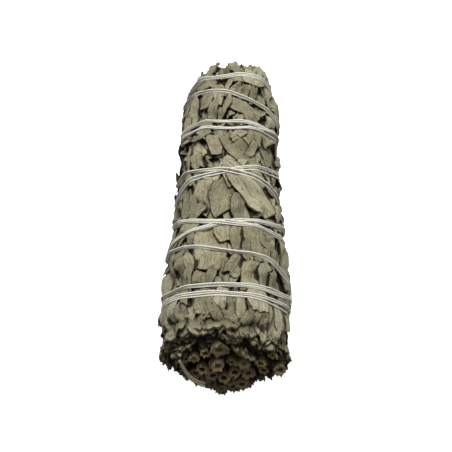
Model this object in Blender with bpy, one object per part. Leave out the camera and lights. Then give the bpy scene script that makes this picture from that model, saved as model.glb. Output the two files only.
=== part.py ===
"""A small dried white sage smudge stick: leafy sprigs pressed into a round bundle and bound with cotton thread.

The stick lies along Y on the plane Z = 0, its cut stems towards -Y and its leaf tips towards +Y. A point of the
bundle is given by its station (the distance along the stick from the upper rim of the butt), its angle round the
axis (0 at the top, growing towards +X) and its radius from the axis. All lengths are in metres.

The pressed foliage is eight wads round a heart of stems. Each wad is a solid core with leaf blades standing out of
it, cut from its neighbours along wavy seams. Loose leaves lie over the seams, and the thread runs taut over all.
"""

import bmesh
import bpy
import math
import random
from mathutils import Vector
from mathutils.bvhtree import BVHTree

# Driving dimensions.
BUTT_RADIUS = 0.0179
FOLIAGE_LENGTH = 0.0925
HEIGHT_SHARE = 0.95
SEED = 11

# Half the bundle's width along its length, as shares of FOLIAGE_LENGTH and of BUTT_RADIUS.
OUTLINE = (
    (-0.10, 0.98),
    (0.00, 1.00),
    (0.13, 1.00),
    (0.24, 0.985),
    (0.45, 0.925),
    (0.65, 0.895),
    (0.92, 0.86),
    (0.96, 0.83),
    (1.00, 0.76),
    (1.04, 0.62),
)
AXIS_AT_BUTT = 0.91 * HEIGHT_SHARE * BUTT_RADIUS
AXIS_DROP = 0.12 * BUTT_RADIUS

# The butt is a slanting dome: its upper rim is at station 0 and its lower stems reach furthest out.
BUTT_BULGE = 0.0085
BUTT_SLANT = 0.0045
BUTT_DISH = 0.0045
RIM_LEAF_LENGTH = (0.014, 0.018)
RIM_LEAF_WIDTH = (0.0085, 0.0105)
RIM_LEAF_TIP = (0.5, 0.85)

# Wads of foliage, the seams between them, and the heart that they lie round.
WADS = 8
GAP = 0.00034
SEAM_WAVE = math.radians(8.0)
SEAM_PITCH = 0.033
SEAM_TWIST = math.radians(160.0)
SEAM_PHASE = 2.1
SEAM_STEP = 0.25 * SEAM_PITCH
SEAM_RUN_OUT = 0.012
CORE_DEPTH = 0.0017
CORE_DEPTH_AT_TIP = 2.5 * CORE_DEPTH
CORE_INSET = 0.0004
CORE_BEHIND_FACE = 0.0026
CORE_END = 0.93 * FOLIAGE_LENGTH
HEART_AT_BUTT = 0.0101
HEART_AT_TIP = 0.0036
HEART_NARROWS_TO = 0.85 * FOLIAGE_LENGTH
HEART_FOLDS = 5
HEART_FOLD_DEPTH = 0.66
HEART_START = 0.63 * FOLIAGE_LENGTH
HEART_END = 0.985 * FOLIAGE_LENGTH
HEART_TWIST = 2.0
HEART_RAGGED = 0.003
HEART_SIZES = ((0.0, 0.5), (0.12, 1.0), (0.5, 1.0), (0.9, 0.95), (1.0, 0.6))

# Leaves.
BLADE = 0.0008
LEAF_LENGTH = (0.019, 0.026)
LEAF_WIDTH = (0.0085, 0.0120)
FOLDED_WIDTH = (0.0045, 0.0060)
FOLDED_SHARE = 0.25
FOLDED_SLOPE = (-0.6, -0.35)
OPEN_SLOPE = (-0.24, -0.06)
PLAIN_SLOPE = -0.12
TIP_WIDTH = (0.15, 0.6)
BASE_WIDTH = (0.4, 0.7)
WIDEST_AT = 0.4
EDGE_WAVE = (0.84, 1.12)
HEADING_SPREAD = 0.45
ROLL_SPREAD = 0.12
TIPS_TO_BUTT = 0.75
LEAF_ROWS = 5
ROWS_FROM, ROWS_TO = 0.06, 0.92
LEAVES_IN_ROW = 2
ROOT_SINK = 0.0023
TIP_LIFT = (-0.0003, 0.0005)

# Folded leaves on edge at the butt.
PLATE_LAYERS = 3
PLATE_PITCH = 0.0019
PLATE_LENGTH = 0.0065
PLATE_STEPS = 3
PLATE_WAVE = 0.0006
PLATE_EDGE_WAVE = 0.0010

# Leaves that close the tip: how far under the surface each layer lies, and its width.
TIP_LAYERS = ((0.0, 0.0100), (0.0055, 0.0062))
TIP_LEAF_LENGTH = 0.019
TIP_CLEAR_OF_HEART = 0.0012

# Loose leaves: seam, share of the length, heading in degrees, length and width.
LOOSE_LEAVES = (
    (0, 0.45, 130.0, 0.0260, 0.0088),
    (1, 0.20, 176.0, 0.0200, 0.0105),
    (2, 0.60, 205.0, 0.0210, 0.0090),
    (7, 0.28, 185.0, 0.0220, 0.0095),
    (6, 0.62, 20.0, 0.0200, 0.0090),
    (0, 0.74, 190.0, 0.0190, 0.0085),
)
LOOSE_STEPS = 5
LOOSE_CLEAR = 1.4 * GAP

# Stems, in a spiral from the middle out.
STEMS = 17
STEM_SPREAD = 0.0020
STEM_RADIUS = (0.00138, 0.00148)
STEM_SIDES = 6
STEM_END = (0.40, 0.60)
STEM_NARROWS_TO = 0.7
STEM_SQUARENESS = 0.06
CUT_SLOPE = 0.3
PITH = 0.45
PITH_DEPTH = 0.0007

# Thread: the stations of each turn at the left side, the top and the right side, and those of the two knots.
THREAD_WIDTH = 0.0016
THREAD_THICK = 0.0008
THREAD_PROFILE = ((-0.5, -0.3), (0.5, -0.3), (0.42, 0.32), (0.0, 0.5), (-0.42, 0.32))
THREAD_STEPS = 20
THREAD_PROBES = 4
TAUT_ROUNDS = 600
KNOT_RADIUS = 0.0014
KNOT_ANGLE = 108.0
BUTT_KNOT = 0.0084
TIP_KNOT = 0.0848
TURNS_UP = (
    (0.0105, 0.0100, 0.0103),
    (0.0126, 0.0127, 0.0140),
    (0.0260, 0.0314, 0.0355),
    (0.0460, 0.0487, 0.0555),
    (0.0680, 0.0674, 0.0694),
    (0.0860, 0.0850, 0.0860),
)
TURNS_DOWN = (
    (0.0824, 0.0778, 0.0741),
    (0.0674, 0.0646, 0.0664),
    (0.0524, 0.0487, 0.0446),
    (0.0358, 0.0312, 0.0310),
    (0.0262, 0.0226, 0.0176),
)
GROOVE_HEIGHT = 0.0018
GROOVE_WIDTH = 0.0034
GROOVE_ANGLE = math.radians(122.0)

SLIVER = 0.0000015
FLAT = math.radians(0.5)

LEAF_COLOUR = (0.36, 0.335, 0.235, 1.0)
STEM_COLOUR = (0.20, 0.155, 0.085, 1.0)
THREAD_COLOUR = (0.78, 0.78, 0.70, 1.0)


def clear_scene():
    for obj in list(bpy.data.objects):
        bpy.data.objects.remove(obj)


def material(name, colour, roughness):
    made = bpy.data.materials.new(name)
    made.use_nodes = True
    shader = made.node_tree.nodes["Principled BSDF"]
    shader.inputs["Base Color"].default_value = colour
    shader.inputs["Roughness"].default_value = roughness
    shader.inputs["Metallic"].default_value = 0.0
    return made


def mix(a, b, share):
    return a + (b - a) * share


def smooth_step(x):
    x = min(max(x, 0.0), 1.0)
    return x * x * (3.0 - 2.0 * x)


def along_table(x, table):
    """The table's value at x, on straight lines between its rows."""
    if x <= table[0][0]:
        return table[0][1]
    for (x0, y0), (x1, y1) in zip(table, table[1:]):
        if x <= x1:
            return mix(y0, y1, (x - x0) / (x1 - x0))
    return table[-1][1]


def axis_height(station):
    """The axis sinks a little towards the tip, where the bundle is thinner, so that its underside lies level."""
    return AXIS_AT_BUTT - AXIS_DROP * smooth_step(station / FOLIAGE_LENGTH)


def envelope(station, angle):
    """Radius of the pressed bundle, a little wider than it is tall."""
    half_width = BUTT_RADIUS * along_table(station / FOLIAGE_LENGTH, OUTLINE)
    return half_width / math.hypot(math.sin(angle), math.cos(angle) / HEIGHT_SHARE)


def point(station, angle, radius):
    return Vector((radius * math.sin(angle), station, axis_height(station) + radius * math.cos(angle)))


def tangent(angle):
    return Vector((math.cos(angle), 0.0, -math.sin(angle)))


def butt_station(x, z):
    """Station of the cut face of the butt at x across and z above the axis."""
    return -BUTT_BULGE + BUTT_SLANT * z / BUTT_RADIUS + BUTT_DISH * (x * x + z * z) / BUTT_RADIUS**2


def butt_face(angle, radius):
    return butt_station(radius * math.sin(angle), radius * math.cos(angle))


def heart_radius(station):
    return mix(HEART_AT_BUTT, HEART_AT_TIP, min(max(station / HEART_NARROWS_TO, 0.0), 1.0))


def seam_angle(k, station):
    wave = SEAM_WAVE * math.sin(2.0 * math.pi * station / SEAM_PITCH + SEAM_PHASE * (k % WADS))
    return 2.0 * math.pi * k / WADS + SEAM_TWIST * station + wave


def in_wad(k, station, share):
    """The angle at a share of the way across a wad."""
    return mix(seam_angle(k, station), seam_angle(k + 1, station), share)


def mesh_object(name, points, faces):
    mesh = bpy.data.meshes.new(name)
    mesh.from_pydata(points, [], faces)
    shape = bmesh.new()
    shape.from_mesh(mesh)
    if shape.calc_volume(signed=True) < 0.0:
        bmesh.ops.reverse_faces(shape, faces=shape.faces)
    shape.to_mesh(mesh)
    shape.free()
    obj = bpy.data.objects.new(name, mesh)
    bpy.context.scene.collection.objects.link(obj)
    return obj


def cap(first, count):
    """Triangles across a ring, to and fro between its two sides."""
    low, high = 0, count - 1
    faces = []
    while high - low > 1:
        faces.append((first + low, first + low + 1, first + high))
        low += 1
        if high - low > 1:
            faces.append((first + low, first + high - 1, first + high))
            high -= 1
    return faces


def skinned(name, rings, turned=()):
    """A closed solid through rings of equal length; the sides that are listed as turned take the other diagonal."""
    n = len(rings[0])
    points = [p for ring in rings for p in ring]
    faces = []
    for j in range(len(rings) - 1):
        for i in range(n):
            a, b = j * n + i, j * n + (i + 1) % n
            c, d = a + n, b + n
            faces += [(a, d, b), (a, c, d)] if i in turned else [(a, c, b), (b, c, d)]
    faces += cap(0, n)
    faces += [face[::-1] for face in cap((len(rings) - 1) * n, n)]
    return mesh_object(name, points, faces)


def combine(obj, operation, others):
    """Applies one Boolean of obj with a group of objects, and removes the group."""
    group = bpy.data.collections.new("group")
    bpy.context.scene.collection.children.link(group)
    for other in others:
        bpy.context.scene.collection.objects.unlink(other)
        group.objects.link(other)
    boolean = obj.modifiers.new("join", "BOOLEAN")
    boolean.operation = operation
    boolean.operand_type = "COLLECTION"
    boolean.collection = group
    boolean.solver = "EXACT"
    bpy.context.view_layer.update()
    done = bpy.data.meshes.new_from_object(obj.evaluated_get(bpy.context.evaluated_depsgraph_get()))
    obj.modifiers.clear()
    obj.data = done
    for other in others:
        bpy.data.objects.remove(other)
    bpy.data.collections.remove(group)


def clean(obj):
    """Closes the slivers that the Booleans leave, and keeps the largest body, without its scraps and hollows."""
    shape = bmesh.new()
    shape.from_mesh(obj.data)
    bmesh.ops.dissolve_limit(shape, angle_limit=FLAT, verts=shape.verts, edges=shape.edges)
    bmesh.ops.triangulate(shape, faces=shape.faces)
    bmesh.ops.remove_doubles(shape, verts=shape.verts, dist=SLIVER)
    bmesh.ops.dissolve_degenerate(shape, edges=shape.edges, dist=SLIVER)
    bmesh.ops.triangulate(shape, faces=shape.faces)
    todo, bodies = set(shape.faces), []
    while todo:
        body, front = set(), [next(iter(todo))]
        while front:
            face = front.pop()
            if face in body:
                continue
            body.add(face)
            front += [other for edge in face.edges if len(edge.link_faces) == 2 for other in edge.link_faces]
        todo -= body
        bodies.append(body)
    keep = max(bodies, key=len)
    bmesh.ops.delete(shape, geom=[face for face in shape.faces if face not in keep], context="FACES")
    shape.to_mesh(obj.data)
    shape.free()


def leaf_half_width(share, tip, base):
    """Half width of a leaf along its length, as a share: a lance shape, blunt where it is torn."""
    if share < WIDEST_AT:
        return mix(base, 1.0, math.sin(0.5 * math.pi * share / WIDEST_AT))
    return mix(tip, 1.0, math.cos(0.5 * math.pi * (share - WIDEST_AT) / (1.0 - WIDEST_AT)) ** 0.8)


def blade(rng, root, end, facing, width, fold=PLAIN_SLOPE, tip=None):
    """A stiff leaf blade from its root to its tip: two flat halves that meet in a fold along the midrib.

    The fold is the slope of the two halves away from the midrib, and the tip is the width there, as a share.
    """
    length = (end - root).length
    along = (end - root) / length
    across = facing.cross(along).normalized()
    out = along.cross(across)
    tip = rng.uniform(*TIP_WIDTH) if tip is None else tip
    base = rng.uniform(*BASE_WIDTH)
    shares = (0.08, rng.uniform(0.42, 0.58), 0.94)
    sides = []
    for side in (-1.0, 1.0):
        edge = []
        for share in shares:
            v = side * 0.5 * width * leaf_half_width(share, tip, base) * rng.uniform(*EDGE_WAVE)
            u = (share + rng.uniform(-0.04, 0.04)) * length
            edge.append(root + u * along + v * across + fold * abs(v) * out)
        sides.append(edge)
    upper = [root] + sides[0] + [end] + sides[1][::-1]
    under = [p - BLADE * out for p in upper]
    n = len(upper)
    half = n // 2
    left, right = tuple(range(half + 1)), tuple(range(half, n)) + (0,)
    faces = [left, right]
    faces += [tuple(n + i for i in reversed(part)) for part in (left, right)]
    faces += [(i, n + i, n + (i + 1) % n, (i + 1) % n) for i in range(n)]
    return mesh_object("blade", upper + under, faces)


def laid_blade(rng, station, angle, heading, length, width, fold):
    """A blade that starts under the surface of the bundle and comes out of it at its tip."""
    reach = envelope(station, angle)
    step_along = 0.5 * length * math.cos(heading)
    step_round = 0.5 * length * math.sin(heading) / reach
    ends = []
    for side, rise in ((-1.0, -ROOT_SINK), (1.0, rng.uniform(*TIP_LIFT))):
        at, round_at = station + side * step_along, angle + side * step_round
        ends.append(point(at, round_at, envelope(at, round_at) + rise))
    roll = angle + rng.uniform(-ROLL_SPREAD, ROLL_SPREAD)
    facing = Vector((math.sin(roll), 0.0, math.cos(roll)))
    return blade(rng, *ends, facing, width, fold)


def wad_leaves(rng, k):
    """Blades in rows along a wad, most of them with their tips towards the butt, some folded to a narrow strip."""
    blades = []
    for row in range(LEAF_ROWS):
        for column in range(LEAVES_IN_ROW):
            middle = FOLIAGE_LENGTH * mix(ROWS_FROM, ROWS_TO, (row + rng.uniform(0.2, 0.8)) / LEAF_ROWS)
            angle = in_wad(k, middle, (column + rng.uniform(0.3, 0.7)) / LEAVES_IN_ROW)
            heading = rng.uniform(-HEADING_SPREAD, HEADING_SPREAD)
            heading += math.pi if rng.random() < TIPS_TO_BUTT else 0.0
            folded = rng.random() < FOLDED_SHARE
            width = rng.uniform(*(FOLDED_WIDTH if folded else LEAF_WIDTH))
            fold = rng.uniform(*(FOLDED_SLOPE if folded else OPEN_SLOPE))
            blades.append(laid_blade(rng, middle, angle, heading, rng.uniform(*LEAF_LENGTH), width, fold))
    return blades


def edge_plate(rng, middle, span, radius):
    """A folded leaf seen on edge at the butt: a wavy plate that runs into the wad."""
    phase = rng.uniform(0.0, 6.0)
    face = butt_face(middle, radius) + rng.uniform(-0.0014, 0.0012)
    rings = []
    for depth in (0.0, PLATE_LENGTH):
        outer, inner = [], []
        for i in range(PLATE_STEPS + 1):
            angle = middle + span * (i / PLATE_STEPS - 0.5)
            r = radius + PLATE_WAVE * math.sin(phase + 2.6 * i)
            at = face + depth + (PLATE_EDGE_WAVE * math.sin(phase + 1.9 * i) if depth == 0.0 else 0.0)
            outer.append(point(at, angle, r + 0.5 * BLADE))
            inner.append(point(at, angle, r - 0.5 * BLADE))
        rings.append(outer + inner[::-1])
    return skinned("plate", rings, range(PLATE_STEPS + 1, 2 * PLATE_STEPS + 1))


def butt_leaves(rng, k):
    """Outer leaves that reach the rim of the butt, and folded ones behind them."""
    blades = []
    for share in (0.25, 0.75):
        rim = in_wad(k, 0.0, share)
        end = butt_face(rim, BUTT_RADIUS) + rng.uniform(-0.0012, 0.0008)
        root = end + rng.uniform(*RIM_LEAF_LENGTH)
        blades.append(
            blade(
                rng,
                point(root, rim + rng.uniform(-0.1, 0.1), envelope(root, rim) - ROOT_SINK),
                point(end, rim, envelope(end, rim) + rng.uniform(-0.0004, 0.0003)),
                Vector((math.sin(rim), 0.0, math.cos(rim))),
                rng.uniform(*RIM_LEAF_WIDTH),
                tip=rng.uniform(*RIM_LEAF_TIP),
            )
        )
    middle = in_wad(k, -0.004, 0.5)
    span = 2.0 * math.pi / WADS
    for layer in range(PLATE_LAYERS):
        radius = HEART_AT_BUTT + (layer + 0.5) * PLATE_PITCH + rng.uniform(-0.0003, 0.0003)
        blades.append(edge_plate(rng, middle, span * rng.uniform(0.7, 0.95), radius))
    return blades


def tip_leaves(rng, k):
    """Leaf tips that close over the end of the bundle, in two layers."""
    blades = []
    for inset, width in TIP_LAYERS:
        end = FOLIAGE_LENGTH * rng.uniform(0.965, 1.01)
        root = end - TIP_LEAF_LENGTH
        angle = in_wad(k, end, rng.uniform(0.42, 0.58))
        blades.append(
            blade(
                rng,
                point(root, angle, envelope(root, angle) - ROOT_SINK - inset),
                point(end, angle, max(envelope(end, angle) - inset, HEART_AT_TIP + TIP_CLEAR_OF_HEART)),
                Vector((math.sin(angle), 0.0, math.cos(angle))),
                width,
                rng.uniform(-0.25, -0.05),
            )
        )
    return blades


def across_wad(k, station, outer_radius, inner_radius, spare):
    """A ring across a wad, kept clear of the middle of its seams by half the gap and the spare."""
    clear = 0.5 * GAP + spare
    flat_to_corner = 1.0 / math.cos(math.pi / WADS)
    ring = []
    for share in (0.0, 0.5, 1.0):
        angle = in_wad(k, station, share)
        ring.append(point(station, angle, outer_radius(angle)) + clear * (1.0 - 2.0 * share) * tangent(angle))
    for share in (1.0, 0.0):
        angle = in_wad(k, station, share)
        corner = point(station, angle, inner_radius * flat_to_corner)
        ring.append(corner + clear * (1.0 - 2.0 * share) * tangent(angle))
    return ring


def seam_stations(start, end):
    """Stations of the seams' corners from start to end; every wad has its corners at the same ones."""
    first, last = math.floor(start / SEAM_STEP), math.ceil(end / SEAM_STEP)
    return [SEAM_STEP * i for i in range(first, last + 1)]


def wad_core(k):
    """The hidden body of a wad, under its leaves."""
    start = butt_face(in_wad(k, 0.0, 0.5), 0.75 * BUTT_RADIUS) + CORE_BEHIND_FACE
    inside = [station for station in seam_stations(start, CORE_END) if start < station < CORE_END]
    rings = []
    for station in [start] + inside + [CORE_END]:
        depth = CORE_DEPTH if station < CORE_END else CORE_DEPTH_AT_TIP
        rings.append(
            across_wad(
                k,
                station,
                lambda angle: envelope(station, angle) - depth,
                heart_radius(station) + CORE_INSET,
                CORE_INSET,
            )
        )
    return skinned(f"sprig_leaves_{k + 1}", rings)


def wad_limit(k):
    """The space between a wad's two seams, outside the heart. Both sides of a seam share its diagonals."""
    outside = 1.5 * BUTT_RADIUS
    rings = []
    for station in seam_stations(-BUTT_BULGE - SEAM_RUN_OUT, FOLIAGE_LENGTH + SEAM_RUN_OUT):
        rings.append(across_wad(k, station, lambda angle: outside, heart_radius(station), 0.0))
    return skinned("limit", rings, turned=(4,))


def thread_route(start, turns, end):
    """Stations and angles of the thread from knot to knot, on a smooth curve through the turns' stations."""
    first = math.radians(KNOT_ANGLE) - 2.0 * math.pi
    keys = [(first, start)]
    for number, stations in enumerate(turns):
        for quarter, station in zip((-1, 0, 1), stations):
            keys.append((2.0 * math.pi * number + 0.5 * math.pi * quarter, station))
    last = math.radians(KNOT_ANGLE) + 2.0 * math.pi * (len(turns) - 1)
    keys.append((last, end))
    slopes = [0.0]
    for before, after in zip(keys, keys[2:]):
        slopes.append((after[1] - before[1]) / (after[0] - before[0]))
    slopes.append(0.0)
    steps = round(THREAD_STEPS * (last - first) / (2.0 * math.pi))
    route, j = [], 0
    for i in range(steps + 1):
        angle = mix(first, last, i / steps)
        while j < len(keys) - 2 and angle > keys[j + 1][0]:
            j += 1
        (a, from_station), (b, to_station) = keys[j], keys[j + 1]
        t = (angle - a) / (b - a)
        ease = smooth_step(t)
        station = mix(from_station, to_station, ease)
        station += (b - a) * (slopes[j] * t * (1.0 - t) ** 2 - slopes[j + 1] * t * t * (1.0 - t))
        route.append((station, angle))
    return route


ROUTES = (
    thread_route(BUTT_KNOT, TURNS_UP, TIP_KNOT),
    thread_route(TIP_KNOT, TURNS_DOWN, BUTT_KNOT),
)


def floor_block():
    """What lies below the surface that the stick rests on."""
    half, low = 1.5 * BUTT_RADIUS, -BUTT_RADIUS
    start, end = -BUTT_RADIUS, FOLIAGE_LENGTH + BUTT_RADIUS
    rings = [[(-half, y, low), (half, y, low), (half, y, 0.0), (-half, y, 0.0)] for y in (start, end)]
    return skinned("floor", rings)


def thread_grooves():
    """Bars along the thread's way under the stick, where its weight presses the thread into the leaves."""
    half, low = 0.5 * GROOVE_WIDTH, -0.5 * BUTT_RADIUS
    bars, rings = [], []
    for station, angle in ROUTES[0] + ROUTES[1]:
        if math.cos(angle) < math.cos(GROOVE_ANGLE):
            x = (axis_height(station) - GROOVE_HEIGHT) * math.tan(math.pi - angle)
            before, after = station - half, station + half
            rings.append([(x, before, low), (x, after, low), (x, after, GROOVE_HEIGHT), (x, before, GROOVE_HEIGHT)])
        else:
            if len(rings) > 1:
                bars.append(skinned("bar", rings))
            rings = []
    return bars


def sprig_leaves(k):
    rng = random.Random(SEED + k)
    obj = wad_core(k)
    combine(obj, "UNION", wad_leaves(rng, k) + butt_leaves(rng, k) + tip_leaves(rng, k))
    combine(obj, "INTERSECT", [wad_limit(k)])
    combine(obj, "DIFFERENCE", [floor_block()] + thread_grooves())
    clean(obj)
    return obj


def stem(number, x, z, rng):
    """A stem with a cut end and a hollow pith, drawn together with the others towards the tip."""
    radius = rng.uniform(*STEM_RADIUS)
    face = butt_station(x, z) + rng.uniform(-0.0012, 0.0014)
    end = rng.uniform(*STEM_END) * FOLIAGE_LENGTH
    squareness, turn = rng.uniform(0.0, STEM_SQUARENESS), rng.uniform(0.0, 2.0 * math.pi)
    slope_x, slope_z = rng.uniform(-CUT_SLOPE, CUT_SLOPE), rng.uniform(-CUT_SLOPE, CUT_SLOPE)

    def ring(station, share, cut):
        shrink = heart_radius(station) / HEART_AT_BUTT
        corners = []
        for i in range(STEM_SIDES):
            angle = turn + 2.0 * math.pi * i / STEM_SIDES
            r = radius * share * shrink * (1.0 + squareness * math.cos(4.0 * angle))
            dx, dz = r * math.cos(angle), r * math.sin(angle)
            height = axis_height(station) + z * shrink + dz
            corners.append((x * shrink + dx, station + cut * (slope_x * dx + slope_z * dz), height))
        return corners

    rings = [ring(face + PITH_DEPTH, PITH, 1.0), ring(face, PITH, 1.0), ring(face, 1.0, 1.0)]
    rings += [ring(0.0, 1.0, 0.0), ring(end, STEM_NARROWS_TO, 0.0)]
    return skinned(f"stem_{number:02d}", rings)


def stems():
    rng = random.Random(SEED + 100)
    golden_angle = math.pi * (3.0 - math.sqrt(5.0))
    made = []
    for i in range(STEMS):
        spread = STEM_SPREAD * math.sqrt(i + 0.3)
        made.append(stem(i + 1, spread * math.sin(golden_angle * i), spread * math.cos(golden_angle * i), rng))
    return made


def heart_leaves():
    """The folded leaves in the middle, from the ends of the stems to the tip."""
    corners = 2 * HEART_FOLDS
    rings = []
    for share, size in HEART_SIZES:
        station = mix(HEART_START, HEART_END, share)
        ring = []
        for i in range(corners):
            radius = (heart_radius(station) - GAP) * size * (1.0 if i % 2 else HEART_FOLD_DEPTH)
            out = HEART_RAGGED * (i % 2) * math.sin(1.7 * i) if share == 1.0 else 0.0
            ring.append(point(station + out, 2.0 * math.pi * i / corners + HEART_TWIST * share, radius))
        rings.append(ring)
    return skinned("heart_leaves", rings)


def surface_of(objects):
    """A measure of how far from the axis a group of objects reaches, by rays towards the axis."""
    points, faces = [], []
    for obj in objects:
        start = len(points)
        points += [v.co.copy() for v in obj.data.vertices]
        faces += [[start + i for i in face.vertices] for face in obj.data.polygons]
    tree = BVHTree.FromPolygons(points, faces)
    far = 2.0 * BUTT_RADIUS

    def reach(station, angle):
        start = point(station, angle, far)
        hit = tree.ray_cast(start, (point(station, angle, 0.0) - start).normalized(), far)
        return far - hit[3] if hit[3] is not None else 0.0

    return reach


def highest_round(reach, station, angle, half_length, half_angle):
    """The largest radius reached in a patch of the surface."""
    steps = [i / 4.0 for i in range(-4, 5)]
    return max(reach(station + half_length * i, angle + half_angle * j) for i in steps for j in steps)


def loose_leaf(number, rng, reach, seam, share, heading, length, width):
    """A leaf that lies over a seam on what is below it, bent round the bundle."""
    station = share * FOLIAGE_LENGTH
    angle = seam_angle(seam, station)
    heading = math.radians(heading)
    size = envelope(station, angle)
    half_patch = 0.6 * length / LOOSE_STEPS
    tip, base, bend = rng.uniform(0.15, 0.3), rng.uniform(0.3, 0.6), rng.uniform(-0.1, 0.1) * length
    rings = []
    for i in range(LOOSE_STEPS + 1):
        along = i / LOOSE_STEPS
        half = 0.5 * width * leaf_half_width(along, tip, base)
        middle = bend * math.sin(math.pi * along)
        upper, under = [], []
        for v in (middle - half * rng.uniform(*EDGE_WAVE), middle, middle + half * rng.uniform(*EDGE_WAVE)):
            u = (along - 0.5) * length
            at = station + u * math.cos(heading) - v * math.sin(heading)
            round_at = angle + (u * math.sin(heading) + v * math.cos(heading)) / size
            below = highest_round(reach, at, round_at, half_patch, half_patch / size) + LOOSE_CLEAR
            upper.append(point(at, round_at, below + BLADE))
            under.append(point(at, round_at, below))
        rings.append(upper + under[::-1])
    return skinned(f"loose_leaf_{number}", rings, turned=(3, 4))


def loose_leaves(foliage):
    rng = random.Random(SEED + 200)
    reach = surface_of(foliage)
    return [loose_leaf(i + 1, rng, reach, *place) for i, place in enumerate(LOOSE_LEAVES)]


def taut(radii, step):
    """Draws the radii of a run tight, so that it bridges the hollows and touches only the heights."""
    radii = list(radii)
    for _ in range(TAUT_ROUNDS):
        for i in range(1, len(radii) - 1):
            chord = 2.0 * radii[i - 1] * radii[i + 1] * math.cos(step) / (radii[i - 1] + radii[i + 1])
            radii[i] = max(radii[i], chord)
    return radii


def route_at(route, place):
    """The station and angle at a place between the points of a route."""
    i = min(int(place), len(route) - 2)
    return tuple(mix(a, b, place - i) for a, b in zip(route[i], route[i + 1]))


def thread_radii(route, reach):
    """The radii of a taut run at the points of its route, clear of the foliage there and on the way between."""
    half = 0.5 * THREAD_WIDTH + GAP
    asides = [half * share for share in (-1.0, -0.5, 0.0, 0.5, 1.0)]
    fine = []
    for i in range((len(route) - 1) * THREAD_PROBES + 1):
        station, angle = route_at(route, i / THREAD_PROBES)
        fine.append(max(reach(station + aside, angle) for aside in asides) + GAP + 0.5 * THREAD_THICK)
    step = route[1][1] - route[0][1]
    fine = taut(fine, step / THREAD_PROBES)
    radii = fine[::THREAD_PROBES]
    raised = [1.0] * len(radii)
    for i, (a, b) in enumerate(zip(radii, radii[1:])):
        for j in range(1, THREAD_PROBES):
            turned = step * j / THREAD_PROBES
            chord = a * b * math.sin(step) / (a * math.sin(turned) + b * math.sin(step - turned))
            need = fine[i * THREAD_PROBES + j] / chord
            raised[i] = max(raised[i], need)
            raised[i + 1] = max(raised[i + 1], need)
    return [radius * more for radius, more in zip(radii, raised)]


def thread_run(route, reach):
    """A flat band of strands along a route, and the radius at which it starts."""
    radii = thread_radii(route, reach)
    rings = []
    for (station, angle), radius in zip(route, radii):
        rings.append(
            [
                point(station + aside * THREAD_WIDTH, angle, radius + high * THREAD_THICK)
                for aside, high in THREAD_PROFILE
            ]
        )
    return skinned("thread", rings), radii[0]


def knot(station, radius):
    """The lump where the ends of the runs are tied together."""
    lump = bmesh.new()
    bmesh.ops.create_icosphere(lump, subdivisions=1, radius=KNOT_RADIUS)
    spot = point(station, math.radians(KNOT_ANGLE), radius)
    bmesh.ops.translate(lump, verts=lump.verts, vec=spot)
    mesh = bpy.data.meshes.new("knot")
    lump.to_mesh(mesh)
    lump.free()
    obj = bpy.data.objects.new("knot", mesh)
    bpy.context.scene.collection.objects.link(obj)
    return obj


def thread(under):
    """The binding: one thread wound up the bundle and back down, fused where it crosses itself, and its knots."""
    reach = surface_of(under)
    (up, at_butt), (down, at_tip) = (thread_run(route, reach) for route in ROUTES)
    raised = KNOT_RADIUS - 0.5 * THREAD_THICK
    combine(up, "UNION", [down, knot(BUTT_KNOT, at_butt + raised), knot(TIP_KNOT, at_tip + raised)])
    clean(up)
    return up


def finish(objects, surface):
    for obj in objects:
        obj.data.materials.clear()
        obj.data.materials.append(surface)


def centre(objects):
    """Moves the stick along and across so that the middle of its box is over the origin."""
    spots = [v.co for obj in objects for v in obj.data.vertices]
    middle_x = 0.5 * (min(v.x for v in spots) + max(v.x for v in spots))
    middle_y = 0.5 * (min(v.y for v in spots) + max(v.y for v in spots))
    for obj in objects:
        for vertex in obj.data.vertices:
            vertex.co -= Vector((middle_x, middle_y, 0.0))
        obj.data.update()
    return middle_x, middle_y


def main():
    clear_scene()
    wads = [sprig_leaves(k) for k in range(WADS)]
    loose = loose_leaves(wads)
    heart = heart_leaves()
    sticks = stems()
    bound = thread(wads + loose)
    finish(wads + loose + [heart], material("sage_leaf", LEAF_COLOUR, 0.9))
    finish(sticks, material("sage_stem", STEM_COLOUR, 0.85))
    finish([bound], material("cotton_thread", THREAD_COLOUR, 0.7))
    return centre(wads + loose + [heart] + sticks + [bound])


MIDDLE = main()
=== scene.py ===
# %% [markdown]
# A sage smudge stick is a bundle of dried white sage: woody stems in the middle, broad felted leaves
# pressed round them, and cotton thread wound up the bundle and back down. This lesson dresses the packed
# model of one. The frame gives the solids at their real size, and every piece made here stands in the place
# of a solid that it replaces.

# %% Load the frame
import math

import bpy
import numpy as np
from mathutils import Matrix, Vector


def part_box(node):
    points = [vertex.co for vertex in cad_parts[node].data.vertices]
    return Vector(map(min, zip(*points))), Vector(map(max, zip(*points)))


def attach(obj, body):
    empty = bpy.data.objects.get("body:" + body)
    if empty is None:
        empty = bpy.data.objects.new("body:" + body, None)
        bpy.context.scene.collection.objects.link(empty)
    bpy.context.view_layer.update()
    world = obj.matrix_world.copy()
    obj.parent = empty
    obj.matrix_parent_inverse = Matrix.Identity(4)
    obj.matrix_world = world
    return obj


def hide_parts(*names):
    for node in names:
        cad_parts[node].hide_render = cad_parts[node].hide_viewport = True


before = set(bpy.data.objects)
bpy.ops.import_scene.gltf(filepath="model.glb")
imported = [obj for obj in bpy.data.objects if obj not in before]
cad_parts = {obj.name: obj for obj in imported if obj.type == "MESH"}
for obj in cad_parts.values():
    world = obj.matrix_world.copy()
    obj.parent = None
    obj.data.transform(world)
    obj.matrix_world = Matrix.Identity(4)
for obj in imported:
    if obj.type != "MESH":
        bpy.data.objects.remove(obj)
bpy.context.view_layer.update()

bpy.ops.object.select_all(action="DESELECT")
MM = 0.001

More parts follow.
